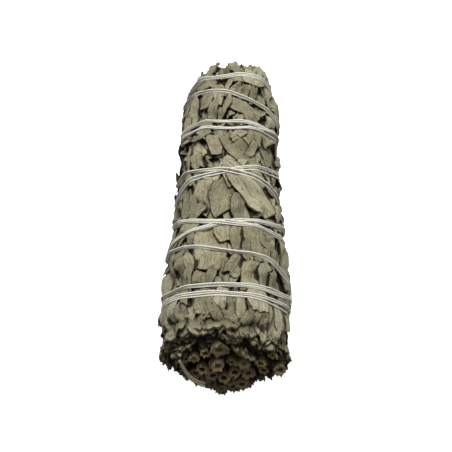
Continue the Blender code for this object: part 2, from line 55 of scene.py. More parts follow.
# %% [markdown]
# The camera looks down on the bundle from the side of its cut stems, so the near end looks larger than the
# far one. The lens and the distance together give that taper. The stick lies along Y in the frame, and a
# small azimuth turns it a little across the picture.

# %% Camera
LENS = 47.8
SENSOR = 36.0
PICTURE = 452
CAMERA_DISTANCE = 182 * MM
CAMERA_AZIMUTH = math.radians(1.25)
CAMERA_ELEVATION = math.radians(63.3)
CAMERA_TARGET = Vector((-1.0 * MM, -3.2 * MM, 14.7 * MM))

towards_camera = Vector(
    (
        math.sin(CAMERA_AZIMUTH) * math.cos(CAMERA_ELEVATION),
        -math.cos(CAMERA_AZIMUTH) * math.cos(CAMERA_ELEVATION),
        math.sin(CAMERA_ELEVATION),
    )
)
camera_place = CAMERA_TARGET + CAMERA_DISTANCE * towards_camera
camera_turn = (-towards_camera).to_track_quat("-Z", "Y")
bpy.ops.object.camera_add(location=camera_place, rotation=camera_turn.to_euler())
camera = bpy.context.object
camera.data.lens = LENS
camera.data.sensor_width = SENSOR
camera.data.clip_start = 10 * MM
bpy.context.scene.camera = camera
print("camera at", [round(v / MM) for v in camera_place], "mm")

# %% [markdown]
# The light is a broad soft lamp overhead and a little behind the stick, so that the leaves on top are
# bright and the cut end faces away from it. The sky is pale above the horizon and dim below it. The floor
# glows by itself, so that it is as white as in the photograph, and sends no light up to the cut end, which
# is dark there.

# %% Light and floor
LAMP_POWER = 1.80
LAMP_SIZE = 0.16
LAMP_PLACE = Vector((-0.005, 0.15, 0.42))
SKY_STRENGTH = 0.36
GROUND_STRENGTH = 0.01
SKY_TILT = (0.0, 0.55, 0.85)
SKY_LOW = -0.32
SKY_HIGH = 0.50
SKY_COLOUR = (1.0, 0.99, 0.97, 1.0)
FLOOR_SIZE = 6.0
FLOOR_BELOW = 0.0001
FLOOR_COLOUR = (0.93, 0.93, 0.93, 1.0)
FLOOR_ROUGHNESS = 0.9
FLOOR_GLOW = 0.92


def aim(place, at):
    """The rotation of a lamp at a place that shines towards a point."""
    return (at - place).to_track_quat("-Z", "Y").to_euler()


bpy.ops.object.light_add(type="AREA", location=LAMP_PLACE, rotation=aim(LAMP_PLACE, CAMERA_TARGET))
lamp = bpy.context.object
lamp.data.size = LAMP_SIZE
lamp.data.energy = LAMP_POWER

world = bpy.data.worlds.new("soft_sky")
world.use_nodes = True
bpy.context.scene.world = world
sky_nodes, sky_links = world.node_tree.nodes, world.node_tree.links
sky = sky_nodes["Background"]
direction = sky_nodes.new("ShaderNodeTexCoord")
upward = sky_nodes.new("ShaderNodeVectorMath")
upward.operation = "DOT_PRODUCT"
upward.inputs[1].default_value = SKY_TILT
sky_links.new(direction.outputs["Generated"], upward.inputs[0])
horizon = sky_nodes.new("ShaderNodeMapRange")
horizon.inputs["From Min"].default_value = SKY_LOW
horizon.inputs["From Max"].default_value = SKY_HIGH
horizon.inputs["To Min"].default_value = GROUND_STRENGTH
horizon.inputs["To Max"].default_value = SKY_STRENGTH
sky_links.new(upward.outputs["Value"], horizon.inputs["Value"])
sky_links.new(horizon.outputs["Result"], sky.inputs["Strength"])
sky.inputs["Color"].default_value = SKY_COLOUR

bpy.ops.mesh.primitive_plane_add(size=FLOOR_SIZE, location=(0.0, 0.0, -FLOOR_BELOW))
floor = bpy.context.object
floor.name = "floor"
floor_paint = bpy.data.materials.new("white_sheet")
floor_paint.use_nodes = True
floor_shader = floor_paint.node_tree.nodes["Principled BSDF"]
floor_shader.inputs["Base Color"].default_value = FLOOR_COLOUR
floor_shader.inputs["Roughness"].default_value = FLOOR_ROUGHNESS
floor_shader.inputs["Emission Color"].default_value = (1.0, 1.0, 1.0, 1.0)
floor_shader.inputs["Emission Strength"].default_value = FLOOR_GLOW
floor.data.materials.append(floor_paint)
floor.visible_diffuse = False
bpy.context.scene.view_settings.view_transform = "Standard"
print("lamp power", LAMP_POWER, "W, sky", SKY_STRENGTH)

# %% [markdown]
# All leaves and threads wrap round one form, so places on the bundle are given by a station along it, an
# angle round it and a radius from its axis. These are the formulas that the solids were made with, but for
# a fuller end at the tip and for leaves that end further back at the corners and the upper left of the cut
# end. Station 0 is the upper rim of the cut end, and the cut face is a slanting dome.

# %% The form of the bundle
BUTT_RADIUS = 17.9 * MM
FOLIAGE_LENGTH = 92.5 * MM
HEIGHT_SHARE = 0.95
MIDDLE_X = 0.52 * MM
MIDDLE_STATION = 41.254 * MM
OUTLINE = (
    (-0.10, 0.98),
    (0.00, 1.00),
    (0.13, 1.00),
    (0.24, 0.985),
    (0.45, 0.925),
    (0.65, 0.895),
    (0.92, 0.86),
    (0.96, 0.84),
    (1.00, 0.80),
    (1.06, 0.72),
)
AXIS_AT_BUTT = 0.91 * HEIGHT_SHARE * BUTT_RADIUS
AXIS_DROP = 0.12 * BUTT_RADIUS
BUTT_BULGE = 8.5 * MM
BUTT_SLANT = 4.5 * MM
BUTT_DISH = 4.5 * MM
CORNER_BACK = 4.2 * MM
CORNER_ANGLE = math.radians(138.0)
CORNER_SPREAD = math.radians(26.0)
TIP_FULLER = 0.10
TIP_FULLER_ANGLE = math.radians(38.0)
TIP_FULLER_SPREAD = math.radians(34.0)
TIP_FULLER_RISE = 6.0
TIP_FULLER_START = 4.8
RIM_BACK = 2.0 * MM
RIM_BACK_ANGLE = math.radians(-50.0)
RIM_BACK_SPREAD = math.radians(50.0)
BACK_FROM = 7 * MM
BACK_OVER = 8 * MM


def smooth_step(x):
    x = np.clip(x, 0.0, 1.0)
    return x * x * (3.0 - 2.0 * x)


def mix(a, b, share):
    return a + (b - a) * share


def axis_height(station):
    return AXIS_AT_BUTT - AXIS_DROP * smooth_step(station / FOLIAGE_LENGTH)


def wrapped(angle):
    """The same angle, between a half turn left of the top and a half turn right of it."""
    return np.mod(angle + math.pi, 2.0 * math.pi) - math.pi


def envelope(station, angle):
    """Radius of the pressed bundle, fuller at the upper right of the tip."""
    places, shares = zip(*OUTLINE)
    half_width = BUTT_RADIUS * np.interp(station / FOLIAGE_LENGTH, places, shares)
    off_corner = (wrapped(angle) - TIP_FULLER_ANGLE) / TIP_FULLER_SPREAD
    near_tip = smooth_step(station / FOLIAGE_LENGTH * TIP_FULLER_RISE - TIP_FULLER_START)
    half_width = half_width * (1.0 + TIP_FULLER * np.exp(-off_corner**2) * near_tip)
    return half_width / np.hypot(np.sin(angle), np.cos(angle) / HEIGHT_SHARE)


def butt_face(angle, radius):
    """Station of the cut face."""
    x, z = radius * np.sin(angle), radius * np.cos(angle)
    return -BUTT_BULGE + BUTT_SLANT * z / BUTT_RADIUS + BUTT_DISH * (x * x + z * z) / BUTT_RADIUS**2


def cut_face(angle, radius):
    """Station of the cut end as dressed, further back at its lower corners and its upper left."""
    corner = (np.abs(wrapped(angle)) - CORNER_ANGLE) / CORNER_SPREAD
    upper_left = (wrapped(angle) - RIM_BACK_ANGLE) / RIM_BACK_SPREAD
    back = CORNER_BACK * np.exp(-corner * corner) + RIM_BACK * np.exp(-upper_left * upper_left)
    return butt_face(angle, radius) + back * smooth_step((radius - BACK_FROM) / BACK_OVER)


def in_frame(station, angle, radius):
    """Points of the frame, one row for each place."""
    x = radius * np.sin(angle) - MIDDLE_X
    y = station - MIDDLE_STATION
    z = axis_height(station) + radius * np.cos(angle)
    return np.stack([x, y, z], axis=-1)


shown_radii = [round(float(envelope(s * MM, 0.0)) / MM, 1) for s in (0, 46, 92)]
print("radius at the butt, middle and tip in mm:", shown_radii)

# %% [markdown]
# Dried sage is matt and felted: a grey-green to beige skin of fine hairs, with small dark specks, a midrib
# and faint side veins. The leaf's own UV map carries the veins, since they follow each leaf. The felt and
# the mottling read Object coordinates. Two attributes are painted on the meshes later: each leaf has its
# own tone, and a point that lies deep between others gets painted shade, a near-black brown that stands in
# for the shadow there. A thin painted shadow runs along every leaf edge, and painted shade darkens the
# crease lines. A share below holds the value at which a ramp starts and ends and, where it doesn't run from
# 0 to 1, what it gives there. A relief is a strength and a height.

# %% Leaf material
FELT_SCALE = 2600.0
MOTTLE_SCALE = 190.0
SPECK_SCALE = 1500.0
SIDE_VEINS = 9.0
LEAF_GREEN = (0.190, 0.176, 0.098, 1.0)
LEAF_BEIGE = (0.330, 0.292, 0.175, 1.0)
LEAF_PALE = (0.450, 0.425, 0.290, 1.0)
LEAF_FELT = (0.560, 0.530, 0.390, 1.0)
LEAF_PIT = (0.130, 0.112, 0.058, 1.0)
LEAF_VEIN = (0.210, 0.180, 0.100, 1.0)
# The dark of the real specks, and painted shade along the crease lines.
LEAF_SPECK_AND_CREASE_SHADE = (0.070, 0.055, 0.028, 1.0)
# Painted shadow: the thin dark line along the leaf edges.
LEAF_EDGE_SHADOW = (0.050, 0.036, 0.015, 1.0)
# Painted shade: the near-black brown that points lying deep between other leaves take.
LEAF_PAINTED_SHADE = (0.021, 0.015, 0.006, 1.0)
GREEN_TO_BEIGE = (0.0, 0.7)
BEIGE_TO_PALE = (0.65, 1.0)
MOTTLE_SHARE = (0.35, 0.75, 0.0, 0.45)
FELT_SHARE = (0.42, 0.70, 0.0, 0.35)
PIT_SHARE = (0.48, 0.28, 0.0, 0.45)
SPECK_SHARE = (0.66, 0.72)
RIB_SHARE = (0.0, 0.035, 1.0, 0.0)
SIDE_VEIN_SHARE = (0.80, 1.0)
CREASE_SHARE = (0.0, 0.016, 1.0, 0.0)
EDGE_SHADOW_ASIDE = (0.455, 0.480)
EDGE_SHADOW_AHEAD = (0.980, 0.990)
PAINTED_SHADE_SHARE = (0.02, 0.75, 0.0, 0.96)
RIB_STRENGTH = 0.45
SIDE_VEIN_STRENGTH = 0.14
CREASE_SHADE_STRENGTH = 0.55
SPECK_STRENGTH = 0.7
EDGE_SHADOW_STRENGTH = 0.88
SIDE_VEIN_SLANT = -0.55
CRUMPLES_ALONG = 2.6
CRUMPLES_ACROSS = 7.0
CRUMPLE_PER_TONE = 37.0
FOLD_RELIEF = 5.0
CREASE_RELIEF = -0.8
SIDE_VEIN_RELIEF = 0.4
LEAF_RELIEF = (0.8, 0.16 * MM)
FELT_RELIEF = (0.55, 0.10 * MM)
LEAF_ROUGHNESS = 0.92
LEAF_SHEEN = 0.04
LEAF_SHEEN_ROUGHNESS = 0.6
DULL_SPECULAR = 0.25


def of_colour(sockets):
    """The colour sockets among a Mix node's sockets, which are found by their type."""
    return [socket for socket in sockets if socket.type == "RGBA"]


class Paint:
    """A node material with short calls for its nodes."""

    def __init__(self, name, roughness):
        self.material = bpy.data.materials.new(name)
        self.material.use_nodes = True
        self.nodes = self.material.node_tree.nodes
        self.links = self.material.node_tree.links
        self.shader = self.nodes["Principled BSDF"]
        self.shader.inputs["Roughness"].default_value = roughness

    def put(self, socket, value):
        """Links an output to a socket, or sets a plain value on it."""
        if isinstance(value, bpy.types.NodeSocket):
            self.links.new(value, socket)
        else:
            socket.default_value = value

    def coordinates(self, kind):
        return self.nodes.new("ShaderNodeTexCoord").outputs[kind]

    def attribute(self, name):
        node = self.nodes.new("ShaderNodeAttribute")
        node.attribute_name = name
        return node.outputs["Fac"]

    def noise(self, place, scale, detail=3.0, roughness=0.55):
        node = self.nodes.new("ShaderNodeTexNoise")
        self.put(node.inputs["Vector"], place)
        node.inputs["Scale"].default_value = scale
        node.inputs["Detail"].default_value = detail
        node.inputs["Roughness"].default_value = roughness
        return node.outputs["Fac"]

    def math(self, operation, a, b=0.0, c=0.0):
        node = self.nodes.new("ShaderNodeMath")
        node.operation = operation
        for socket, value in zip(node.inputs, (a, b, c)):
            self.put(socket, value)
        return node.outputs[0]

    def ramp(self, value, low, high, start=0.0, end=1.0):
        node = self.nodes.new("ShaderNodeMapRange")
        node.interpolation_type = "SMOOTHSTEP"
        self.put(node.inputs["Value"], value)
        node.inputs["From Min"].default_value = low
        node.inputs["From Max"].default_value = high
        node.inputs["To Min"].default_value = start
        node.inputs["To Max"].default_value = end
        return node.outputs["Result"]

    def blend(self, share, first, second):
        node = self.nodes.new("ShaderNodeMix")
        node.data_type = "RGBA"
        self.put(node.inputs[0], share)
        for socket, colour in zip(of_colour(node.inputs), (first, second)):
            self.put(socket, colour)
        return of_colour(node.outputs)[0]

    def bump(self, height, strength, distance, below=None):
        node = self.nodes.new("ShaderNodeBump")
        node.inputs["Strength"].default_value = strength
        node.inputs["Distance"].default_value = distance
        self.put(node.inputs["Height"], height)
        if below is not None:
            self.put(node.inputs["Normal"], below)
        return node.outputs["Normal"]


def leaf_paint(name, green, beige, pale):
    paint = Paint(name, LEAF_ROUGHNESS)
    uv = paint.nodes.new("ShaderNodeSeparateXYZ")
    paint.put(uv.inputs[0], paint.coordinates("UV"))
    along, across = uv.outputs["X"], uv.outputs["Y"]
    place = paint.coordinates("Object")
    tone = paint.attribute("tone")
    painted_shade = paint.attribute("painted_shade")
    off_rib = paint.math("ABSOLUTE", paint.math("SUBTRACT", across, 0.5))
    rib = paint.ramp(off_rib, *RIB_SHARE)
    slanting = paint.math("MULTIPLY_ADD", off_rib, SIDE_VEIN_SLANT, along)
    side_wave = paint.math("SINE", paint.math("MULTIPLY", slanting, SIDE_VEINS * 2.0 * math.pi))
    side_veins = paint.ramp(side_wave, *SIDE_VEIN_SHARE)
    lengthwise = paint.nodes.new("ShaderNodeCombineXYZ")
    paint.put(lengthwise.inputs[0], paint.math("MULTIPLY", along, CRUMPLES_ALONG))
    paint.put(lengthwise.inputs[1], paint.math("MULTIPLY", across, CRUMPLES_ACROSS))
    paint.put(lengthwise.inputs[2], paint.math("MULTIPLY", tone, CRUMPLE_PER_TONE))
    crumple = paint.noise(lengthwise.outputs[0], 1.0, 2.5, 0.6)
    crease = paint.ramp(paint.math("ABSOLUTE", paint.math("SUBTRACT", crumple, 0.5)), *CREASE_SHARE)
    mottle = paint.noise(place, MOTTLE_SCALE, 4.0, 0.6)
    felt = paint.noise(place, FELT_SCALE, 4.0, 0.7)
    specks = paint.ramp(paint.noise(place, SPECK_SCALE, 1.0), *SPECK_SHARE)
    colour = paint.blend(paint.ramp(tone, *GREEN_TO_BEIGE), green, beige)
    colour = paint.blend(paint.ramp(tone, *BEIGE_TO_PALE), colour, pale)
    colour = paint.blend(paint.ramp(mottle, *MOTTLE_SHARE), colour, pale)
    colour = paint.blend(paint.ramp(felt, *FELT_SHARE), colour, LEAF_FELT)
    colour = paint.blend(paint.ramp(felt, *PIT_SHARE), colour, LEAF_PIT)
    faint_rib = paint.math("MULTIPLY", rib, RIB_STRENGTH)
    faint_veins = paint.math("MULTIPLY", side_veins, SIDE_VEIN_STRENGTH)
    colour = paint.blend(paint.math("MAXIMUM", faint_rib, faint_veins), colour, LEAF_VEIN)
    # Painted shade darkens the crease lines; the real dark specks in the next line take the same colour.
    colour = paint.blend(paint.math("MULTIPLY", crease, CREASE_SHADE_STRENGTH), colour, LEAF_SPECK_AND_CREASE_SHADE)
    colour = paint.blend(paint.math("MULTIPLY", specks, SPECK_STRENGTH), colour, LEAF_SPECK_AND_CREASE_SHADE)
    # Painted shadow: a thin dark line along every leaf edge, standing in for the shaded gap beside it.
    edge_shadow = paint.math("MAXIMUM", paint.ramp(off_rib, *EDGE_SHADOW_ASIDE), paint.ramp(along, *EDGE_SHADOW_AHEAD))
    colour = paint.blend(paint.math("MULTIPLY", edge_shadow, EDGE_SHADOW_STRENGTH), colour, LEAF_EDGE_SHADOW)
    # Painted shade for points that lie deep between other leaves or close under a higher leaf's edge.
    colour = paint.blend(paint.ramp(painted_shade, *PAINTED_SHADE_SHARE), colour, LEAF_PAINTED_SHADE)
    paint.put(paint.shader.inputs["Base Color"], colour)
    paint.shader.inputs["Sheen Weight"].default_value = LEAF_SHEEN
    paint.shader.inputs["Sheen Roughness"].default_value = LEAF_SHEEN_ROUGHNESS
    paint.shader.inputs["Specular IOR Level"].default_value = DULL_SPECULAR
    ribs = paint.math("MULTIPLY_ADD", side_veins, SIDE_VEIN_RELIEF, rib)
    creased = paint.math("MULTIPLY", crease, CREASE_RELIEF)
    folds = paint.math("MULTIPLY_ADD", crumple, FOLD_RELIEF, creased)
    relief = paint.bump(paint.math("SUBTRACT", folds, ribs), *LEAF_RELIEF)
    paint.put(paint.shader.inputs["Normal"], paint.bump(felt, *FELT_RELIEF, relief))
    return paint.material


LEAF = leaf_paint("sage_leaf_felt", LEAF_GREEN, LEAF_BEIGE, LEAF_PALE)
print("leaf material nodes:", len(LEAF.node_tree.nodes))

# %% [markdown]
# The stems are brown bark over pale wood, and their cut ends show a ring round a hollow pith. Painted shade
# darkens that pith, the bark further back among the leaves and the lower stems. The thread is unbleached
# cotton: off-white, soft, with a faint sheen along its fibres. What lies between the leaves at the heart of
# the bundle is painted near black as shade.

# %% Stem, thread and heart materials
BARK = (0.150, 0.112, 0.055, 1.0)
BARK_PALE = (0.32, 0.265, 0.15, 1.0)
WOOD = (0.36, 0.255, 0.105, 1.0)
RING_PALE = (0.50, 0.40, 0.20, 1.0)
COTTON = (0.93, 0.915, 0.82, 1.0)
COTTON_SHADE = (0.68, 0.66, 0.56, 1.0)
# Near black, as painted shade: the heart of the bundle and the shaded parts of the stems.
HEART_SHADE = (0.018, 0.013, 0.007, 1.0)
HEART_CRUMB = (0.055, 0.042, 0.020, 1.0)
BARK_STRETCH = (1.0, 0.16, 1.0)
FIBRE_SCALE = 1900.0
PATCH_SCALE = 420.0
GRAIN_SCALE = 2200.0
COTTON_SCALE = 5200.0
SOIL_SCALE = 260.0
CRUMB_SCALE = 700.0
FIBRE_SHARE = (0.35, 0.70)
PATCH_SHARE = (0.40, 0.72, 0.0, 0.6)
GRAIN_SHARE = (0.35, 0.7)
COTTON_SHARE = (0.35, 0.65)
SOIL_SHARE = (0.45, 0.75, 0.0, 0.35)
CRUMB_SHARE = (0.40, 0.75)
BARK_RELIEF = (0.7, 0.18 * MM)
COTTON_RELIEF = (0.5, 0.06 * MM)
CRUMB_RELIEF = (1.0, 0.5 * MM)
STEM_ROUGHNESS = 0.85
COTTON_ROUGHNESS = 0.75
HEART_ROUGHNESS = 0.95
COTTON_SHEEN = 0.25
COTTON_SHEEN_ROUGHNESS = 0.35


def stem_paint():
    """Bark along the stem and wood on its cut face, which an attribute marks."""
    paint = Paint("sage_stem_bark", STEM_ROUGHNESS)
    place = paint.coordinates("Object")
    stretched = paint.nodes.new("ShaderNodeMapping")
    stretched.inputs["Scale"].default_value = BARK_STRETCH
    paint.put(stretched.inputs["Vector"], place)
    fibres = paint.noise(stretched.outputs[0], FIBRE_SCALE, 4.0, 0.6)
    patches = paint.noise(place, PATCH_SCALE)
    cut = paint.attribute("cut")
    painted_shade = paint.attribute("painted_shade")
    colour = paint.blend(paint.ramp(fibres, *FIBRE_SHARE), BARK, BARK_PALE)
    colour = paint.blend(paint.ramp(patches, *PATCH_SHARE), colour, WOOD)
    grain = paint.noise(place, GRAIN_SCALE)
    face = paint.blend(paint.ramp(grain, *GRAIN_SHARE), WOOD, RING_PALE)
    colour = paint.blend(cut, colour, face)
    # Painted shade: the hollow pith, the bark further back among the leaves and the lower stems darken to
    # near black.
    colour = paint.blend(painted_shade, colour, HEART_SHADE)
    paint.put(paint.shader.inputs["Base Color"], colour)
    paint.shader.inputs["Specular IOR Level"].default_value = DULL_SPECULAR
    paint.put(paint.shader.inputs["Normal"], paint.bump(fibres, *BARK_RELIEF))
    return paint.material


def thread_paint():
    paint = Paint("cotton_strands", COTTON_ROUGHNESS)
    place = paint.coordinates("Object")
    fibres = paint.noise(place, COTTON_SCALE, 3.0, 0.6)
    soil = paint.noise(place, SOIL_SCALE)
    colour = paint.blend(paint.ramp(fibres, *COTTON_SHARE), COTTON_SHADE, COTTON)
    colour = paint.blend(paint.ramp(soil, *SOIL_SHARE), colour, COTTON_SHADE)
    paint.put(paint.shader.inputs["Base Color"], colour)
    paint.shader.inputs["Sheen Weight"].default_value = COTTON_SHEEN
    paint.shader.inputs["Sheen Roughness"].default_value = COTTON_SHEEN_ROUGHNESS
    paint.put(paint.shader.inputs["Normal"], paint.bump(fibres, *COTTON_RELIEF))
    return paint.material


# A near-black material that paints the shade between the leaves.
def shade_heart_paint():
    paint = Paint("painted_shade_heart", HEART_ROUGHNESS)
    crumbs = paint.noise(paint.coordinates("Object"), CRUMB_SCALE, 4.0)
    colour = paint.blend(paint.ramp(crumbs, *CRUMB_SHARE), HEART_SHADE, HEART_CRUMB)
    paint.put(paint.shader.inputs["Base Color"], colour)
    paint.put(paint.shader.inputs["Normal"], paint.bump(crumbs, *CRUMB_RELIEF))
    return paint.material


STEM = stem_paint()
THREAD = thread_paint()
DARK = shade_heart_paint()
print("materials:", [m.name for m in (LEAF, STEM, THREAD, DARK)])

# %% [markdown]
# A leaf starts as a flat grid. Its rows are drawn in to a leaf outline, its surface gets a midrib, a cupped
# or rolled margin and the waves of a dried leaf, and Solidify gives it a thickness. A few such forms are
# enough, because every copy gets its own size, bend and lie. The bundle holds whole lance leaves, blunt
# round ones, torn pieces with a jagged end, pleated strips and leaves rolled to a finger.

# %% Leaf forms
LEAF_GRID = (22, 8)
BIT_GRID = (10, 6)
LEAF_THICKNESS = 0.34 * MM
FORM_LENGTH = 20.0 * MM
FORM_WIDTH = 8.0 * MM
FORMS_OF_A_KIND = 5
FOLDS = {"whole": 0.11, "strip": 0.9, "torn": 0.8, "bit": 0.8}
FOLD_LINES = 3
LIGHT_FOLD = 0.5
LEAST_FOLD = 0.1
FOLD_ASIDE = 0.8
FOLD_SLANT = 1.2
LEAST_WIDTH = 0.07
EDGE_WANDER = 0.025
EDGE_JITTER = 0.022
TEAR_FROM = 0.55
TEAR_OVER = 0.45
TEAR_WANDER = 0.035
TEAR_SLANT = 0.10
RAISED_RIM = 0.8
MIDRIB_DEPTH = 0.16 * MM
MIDRIB_WIDTH = 0.16
PLEAT_HEIGHT = 0.30 * MM
ROLL_TURN = 1.15 * math.pi
LEAF_WAVES = ((0.16, 7.0, 2.2), (0.12, 13.0, -3.1), (0.10, 4.0, 5.0))
SMOOTH_BELOW = math.radians(50.0)


def outline(kind, t, rng):
    """Half width of a leaf along its length, as a share."""
    if kind in ("round", "whole"):
        width = np.clip(1.0 - np.abs(1.75 * t - 0.90) ** 3.2, 0.0, 1.0) ** 0.5
        width = np.where(t < 0.5, np.maximum(width, 0.45), width)
    elif kind in ("torn", "bit"):
        width = 0.72 + 0.28 * np.sin(math.pi * np.clip(1.15 * t, 0.0, 1.0)) ** 0.7
    elif kind == "strip":
        width = 0.62 + 0.30 * np.sin(math.pi * t) + 0.08 * np.sin(9.0 * t + rng.uniform(0.0, 6.0))
    elif kind in ("rolled", "sheet"):
        width = np.clip(1.0 - (2.0 * t - 1.0) ** 8, 0.0, 1.0)
    else:
        width = np.sin(math.pi * np.clip(t, 0.0, 1.0) ** 0.85) ** 0.75
        width = np.maximum(width, 0.35 * (1.0 - t))
    return np.maximum(width, LEAST_WIDTH)


def wander(rng, count, step):
    """A path of small random steps about zero."""
    path = np.cumsum(rng.normal(0.0, step, count))
    return path - np.linspace(path[0], path[-1], count)


def leaf_shape(kind, seed, columns, rows):
    """Offsets of a leaf's grid in metres: along, across and up."""
    rng = np.random.default_rng(seed)
    across, along = rows + 1, columns + 1
    t, v = np.meshgrid(np.linspace(0.0, 1.0, along), np.linspace(-1.0, 1.0, across))
    ends = outline(kind, t[0], rng)
    left = ends * (1.0 + wander(rng, along, EDGE_WANDER) + rng.normal(0.0, EDGE_JITTER, along))
    right = ends * (1.0 + wander(rng, along, EDGE_WANDER) + rng.normal(0.0, EDGE_JITTER, along))
    y = 0.5 * FORM_WIDTH * np.where(v < 0.0, v * left, v * right)
    x = (t - 0.5) * FORM_LENGTH
    if kind in ("torn", "strip", "bit"):
        jagged = wander(rng, across, TEAR_WANDER) + rng.normal(0.0, EDGE_JITTER, across)
        slant = rng.uniform(-TEAR_SLANT, TEAR_SLANT)
        x += FORM_LENGTH * smooth_step((t - TEAR_FROM) / TEAR_OVER) * (jagged[:, None] + slant * v)
    side = rng.uniform(0.0, RAISED_RIM, 2) * MM
    up = np.where(v < 0.0, side[0], side[1]) * np.abs(v) ** 3
    strongest = FOLDS.get(kind, LIGHT_FOLD)
    for _ in range(FOLD_LINES):
        fold, slope = rng.uniform(-FOLD_ASIDE, FOLD_ASIDE), rng.uniform(-FOLD_SLANT, FOLD_SLANT)
        size = rng.uniform(LEAST_FOLD, strongest) * MM * rng.choice((-1.0, 1.0))
        up += size * np.abs(v - fold - slope * (t - 0.5))
    up -= MIDRIB_DEPTH * np.exp(-((v / MIDRIB_WIDTH) ** 2)) * (1.0 - t)
    phase = rng.uniform(0.0, 6.3, 6)
    for (size, waves_along, waves_across), start in zip(LEAF_WAVES, phase):
        up += size * MM * np.sin(waves_along * t + waves_across * v + start)
    if kind == "strip":
        up += PLEAT_HEIGHT * np.sin(2.0 * math.pi * (1.3 * v + 0.4 * t) + phase[3])
    if kind == "bit":
        x -= FORM_LENGTH * smooth_step((0.4 - t) / 0.4) * rng.normal(0.0, 0.06, across)[:, None]
    if kind == "torn":
        up += rng.uniform(0.0, 0.9) * MM * smooth_step((t - 0.78) / 0.22)
    if kind == "lance":
        up += rng.uniform(-0.1, 1.0) * MM * smooth_step((t - 0.7) / 0.3)
    if kind == "rolled":
        turn = ROLL_TURN * v
        roll = 0.5 * FORM_WIDTH / ROLL_TURN
        y = roll * np.sin(turn) * np.where(v < 0.0, left, right)
        up = roll * (1.0 - np.cos(turn)) * ends
    up -= up.min()
    return x, y, up


def leaf_form(kind, seed):
    """A leaf modelled as an object, and the rest places of its points."""
    columns, rows = BIT_GRID if kind == "bit" else LEAF_GRID
    bpy.ops.mesh.primitive_grid_add(x_subdivisions=columns, y_subdivisions=rows, size=FORM_LENGTH)
    form = bpy.context.object
    form.name = f"form_{kind}_{seed}"
    x, y, up = leaf_shape(kind, seed, columns, rows)
    points = np.stack([x.ravel(), y.ravel(), up.ravel()], axis=-1)
    form.data.vertices.foreach_set("co", points.astype(np.float32).ravel())
    form.data.update()
    solid = form.modifiers.new("thickness", "SOLIDIFY")
    solid.thickness = LEAF_THICKNESS
    solid.offset = 1.0
    bpy.ops.object.modifier_apply(modifier=solid.name)
    bpy.ops.object.shade_smooth_by_angle(angle=SMOOTH_BELOW)
    form.select_set(False)
    count = len(form.data.vertices)
    places = np.empty(count * 3, dtype=np.float32)
    form.data.vertices.foreach_get("co", places)
    grid = (rows + 1, columns + 1)
    return {"object": form, "kind": kind, "grid": grid, "points": places.reshape(count, 3).astype(float)}


KINDS = ("lance", "round", "torn", "strip", "rolled", "sheet", "whole", "bit")
forms = {kind: [leaf_form(kind, 10 * i + j) for j in range(FORMS_OF_A_KIND)] for i, kind in enumerate(KINDS)}
sample = forms["lance"][0]
print("points in a leaf form:", len(sample["points"]), "faces:", len(sample["object"].data.polygons))

# %% [markdown]
# The leaves are laid one after another, as the hands of the maker lay them. A map of the bundle, unrolled
# flat, holds the height reached so far at every station and angle. A leaf that is laid takes the height of
# what lies under it, smoothed so that it bridges small hollows as a stiff dry leaf does, and then raises
# the map. The ground under the first leaves is uneven, with deep pits, so dark gaps are left between the
# leaves.

# %% The height map
CELL = 0.25 * MM
MAP_START = -14.0 * MM
MAP_END = 101.0 * MM
MAP_ROWS = round((MAP_END - MAP_START) / CELL)
MAP_COLUMNS = 448
COLUMN_ANGLE = 2.0 * math.pi / MAP_COLUMNS
GROUND_DEPTH = 4.6 * MM
GROUND_UNEVEN = 0.45 * MM
PIT_DEPTH = 2.6 * MM
PITS_FROM = 0.9
PITS_OVER = 0.8
MAP_MARGIN = 8
NEAR_CELLS = ((-2, 0), (2, 0), (0, -2), (0, 2), (-1, -1), (1, 1), (-1, 1), (1, -1))
FINENESS = 5
STIFF_STEPS = 4
STIFF_REACH = 3
CLEARANCE = 0.03 * MM

map_stations = MAP_START + CELL * np.arange(MAP_ROWS)
map_angles = COLUMN_ANGLE * np.arange(MAP_COLUMNS)
map_envelope = envelope(map_stations[:, None], map_angles[None, :])


def ripple(stations, angles, count, low, high, seed):
    """Smooth random relief between -1 and 1, the same after a full turn."""
    draw = np.random.default_rng(seed)
    total = np.zeros(np.broadcast(stations, angles).shape)
    for _ in range(count):
        turns = draw.integers(1, high)
        pitch = draw.uniform(low, 4.0 * low)
        total += np.sin(2.0 * math.pi * stations / pitch + turns * angles + draw.uniform(0.0, 6.3))
    return total / math.sqrt(count)


ground = map_envelope - GROUND_DEPTH
whole_map = (map_stations[:, None], map_angles[None, :])
ground += GROUND_UNEVEN * ripple(*whole_map, count=10, low=5.0 * MM, high=14, seed=5)
pits = ripple(*whole_map, count=12, low=4.0 * MM, high=18, seed=6)
ground -= PIT_DEPTH * smooth_step((pits - PITS_FROM) / PITS_OVER)
height_map = ground.copy()


def cells(stations, angles):
    """Fractional rows and columns of the map."""
    return (stations - MAP_START) / CELL, np.mod(angles, 2.0 * math.pi) / COLUMN_ANGLE


def between(source, i, j, k, a, b):
    """The value between the cells i and i + 1 of the columns j and k, at the shares a and b."""
    upper = source[i, j] * (1.0 - b) + source[i, k] * b
    lower = source[i + 1, j] * (1.0 - b) + source[i + 1, k] * b
    return upper * (1.0 - a) + lower * a


def read_map(source, stations, angles):
    """The map's value between its cells."""
    row, column = cells(stations, angles)
    row = np.clip(row, 0.0, MAP_ROWS - 1.001)
    i, j = row.astype(int), column.astype(int) % MAP_COLUMNS
    a, b = row - i, column - np.floor(column)
    return between(source, i, j, (j + 1) % MAP_COLUMNS, a, b)


def shifted(patch, down, right):
    rows = np.clip(np.arange(patch.shape[0]) + down, 0, patch.shape[0] - 1)
    columns = np.clip(np.arange(patch.shape[1]) + right, 0, patch.shape[1] - 1)
    return patch[rows][:, columns]


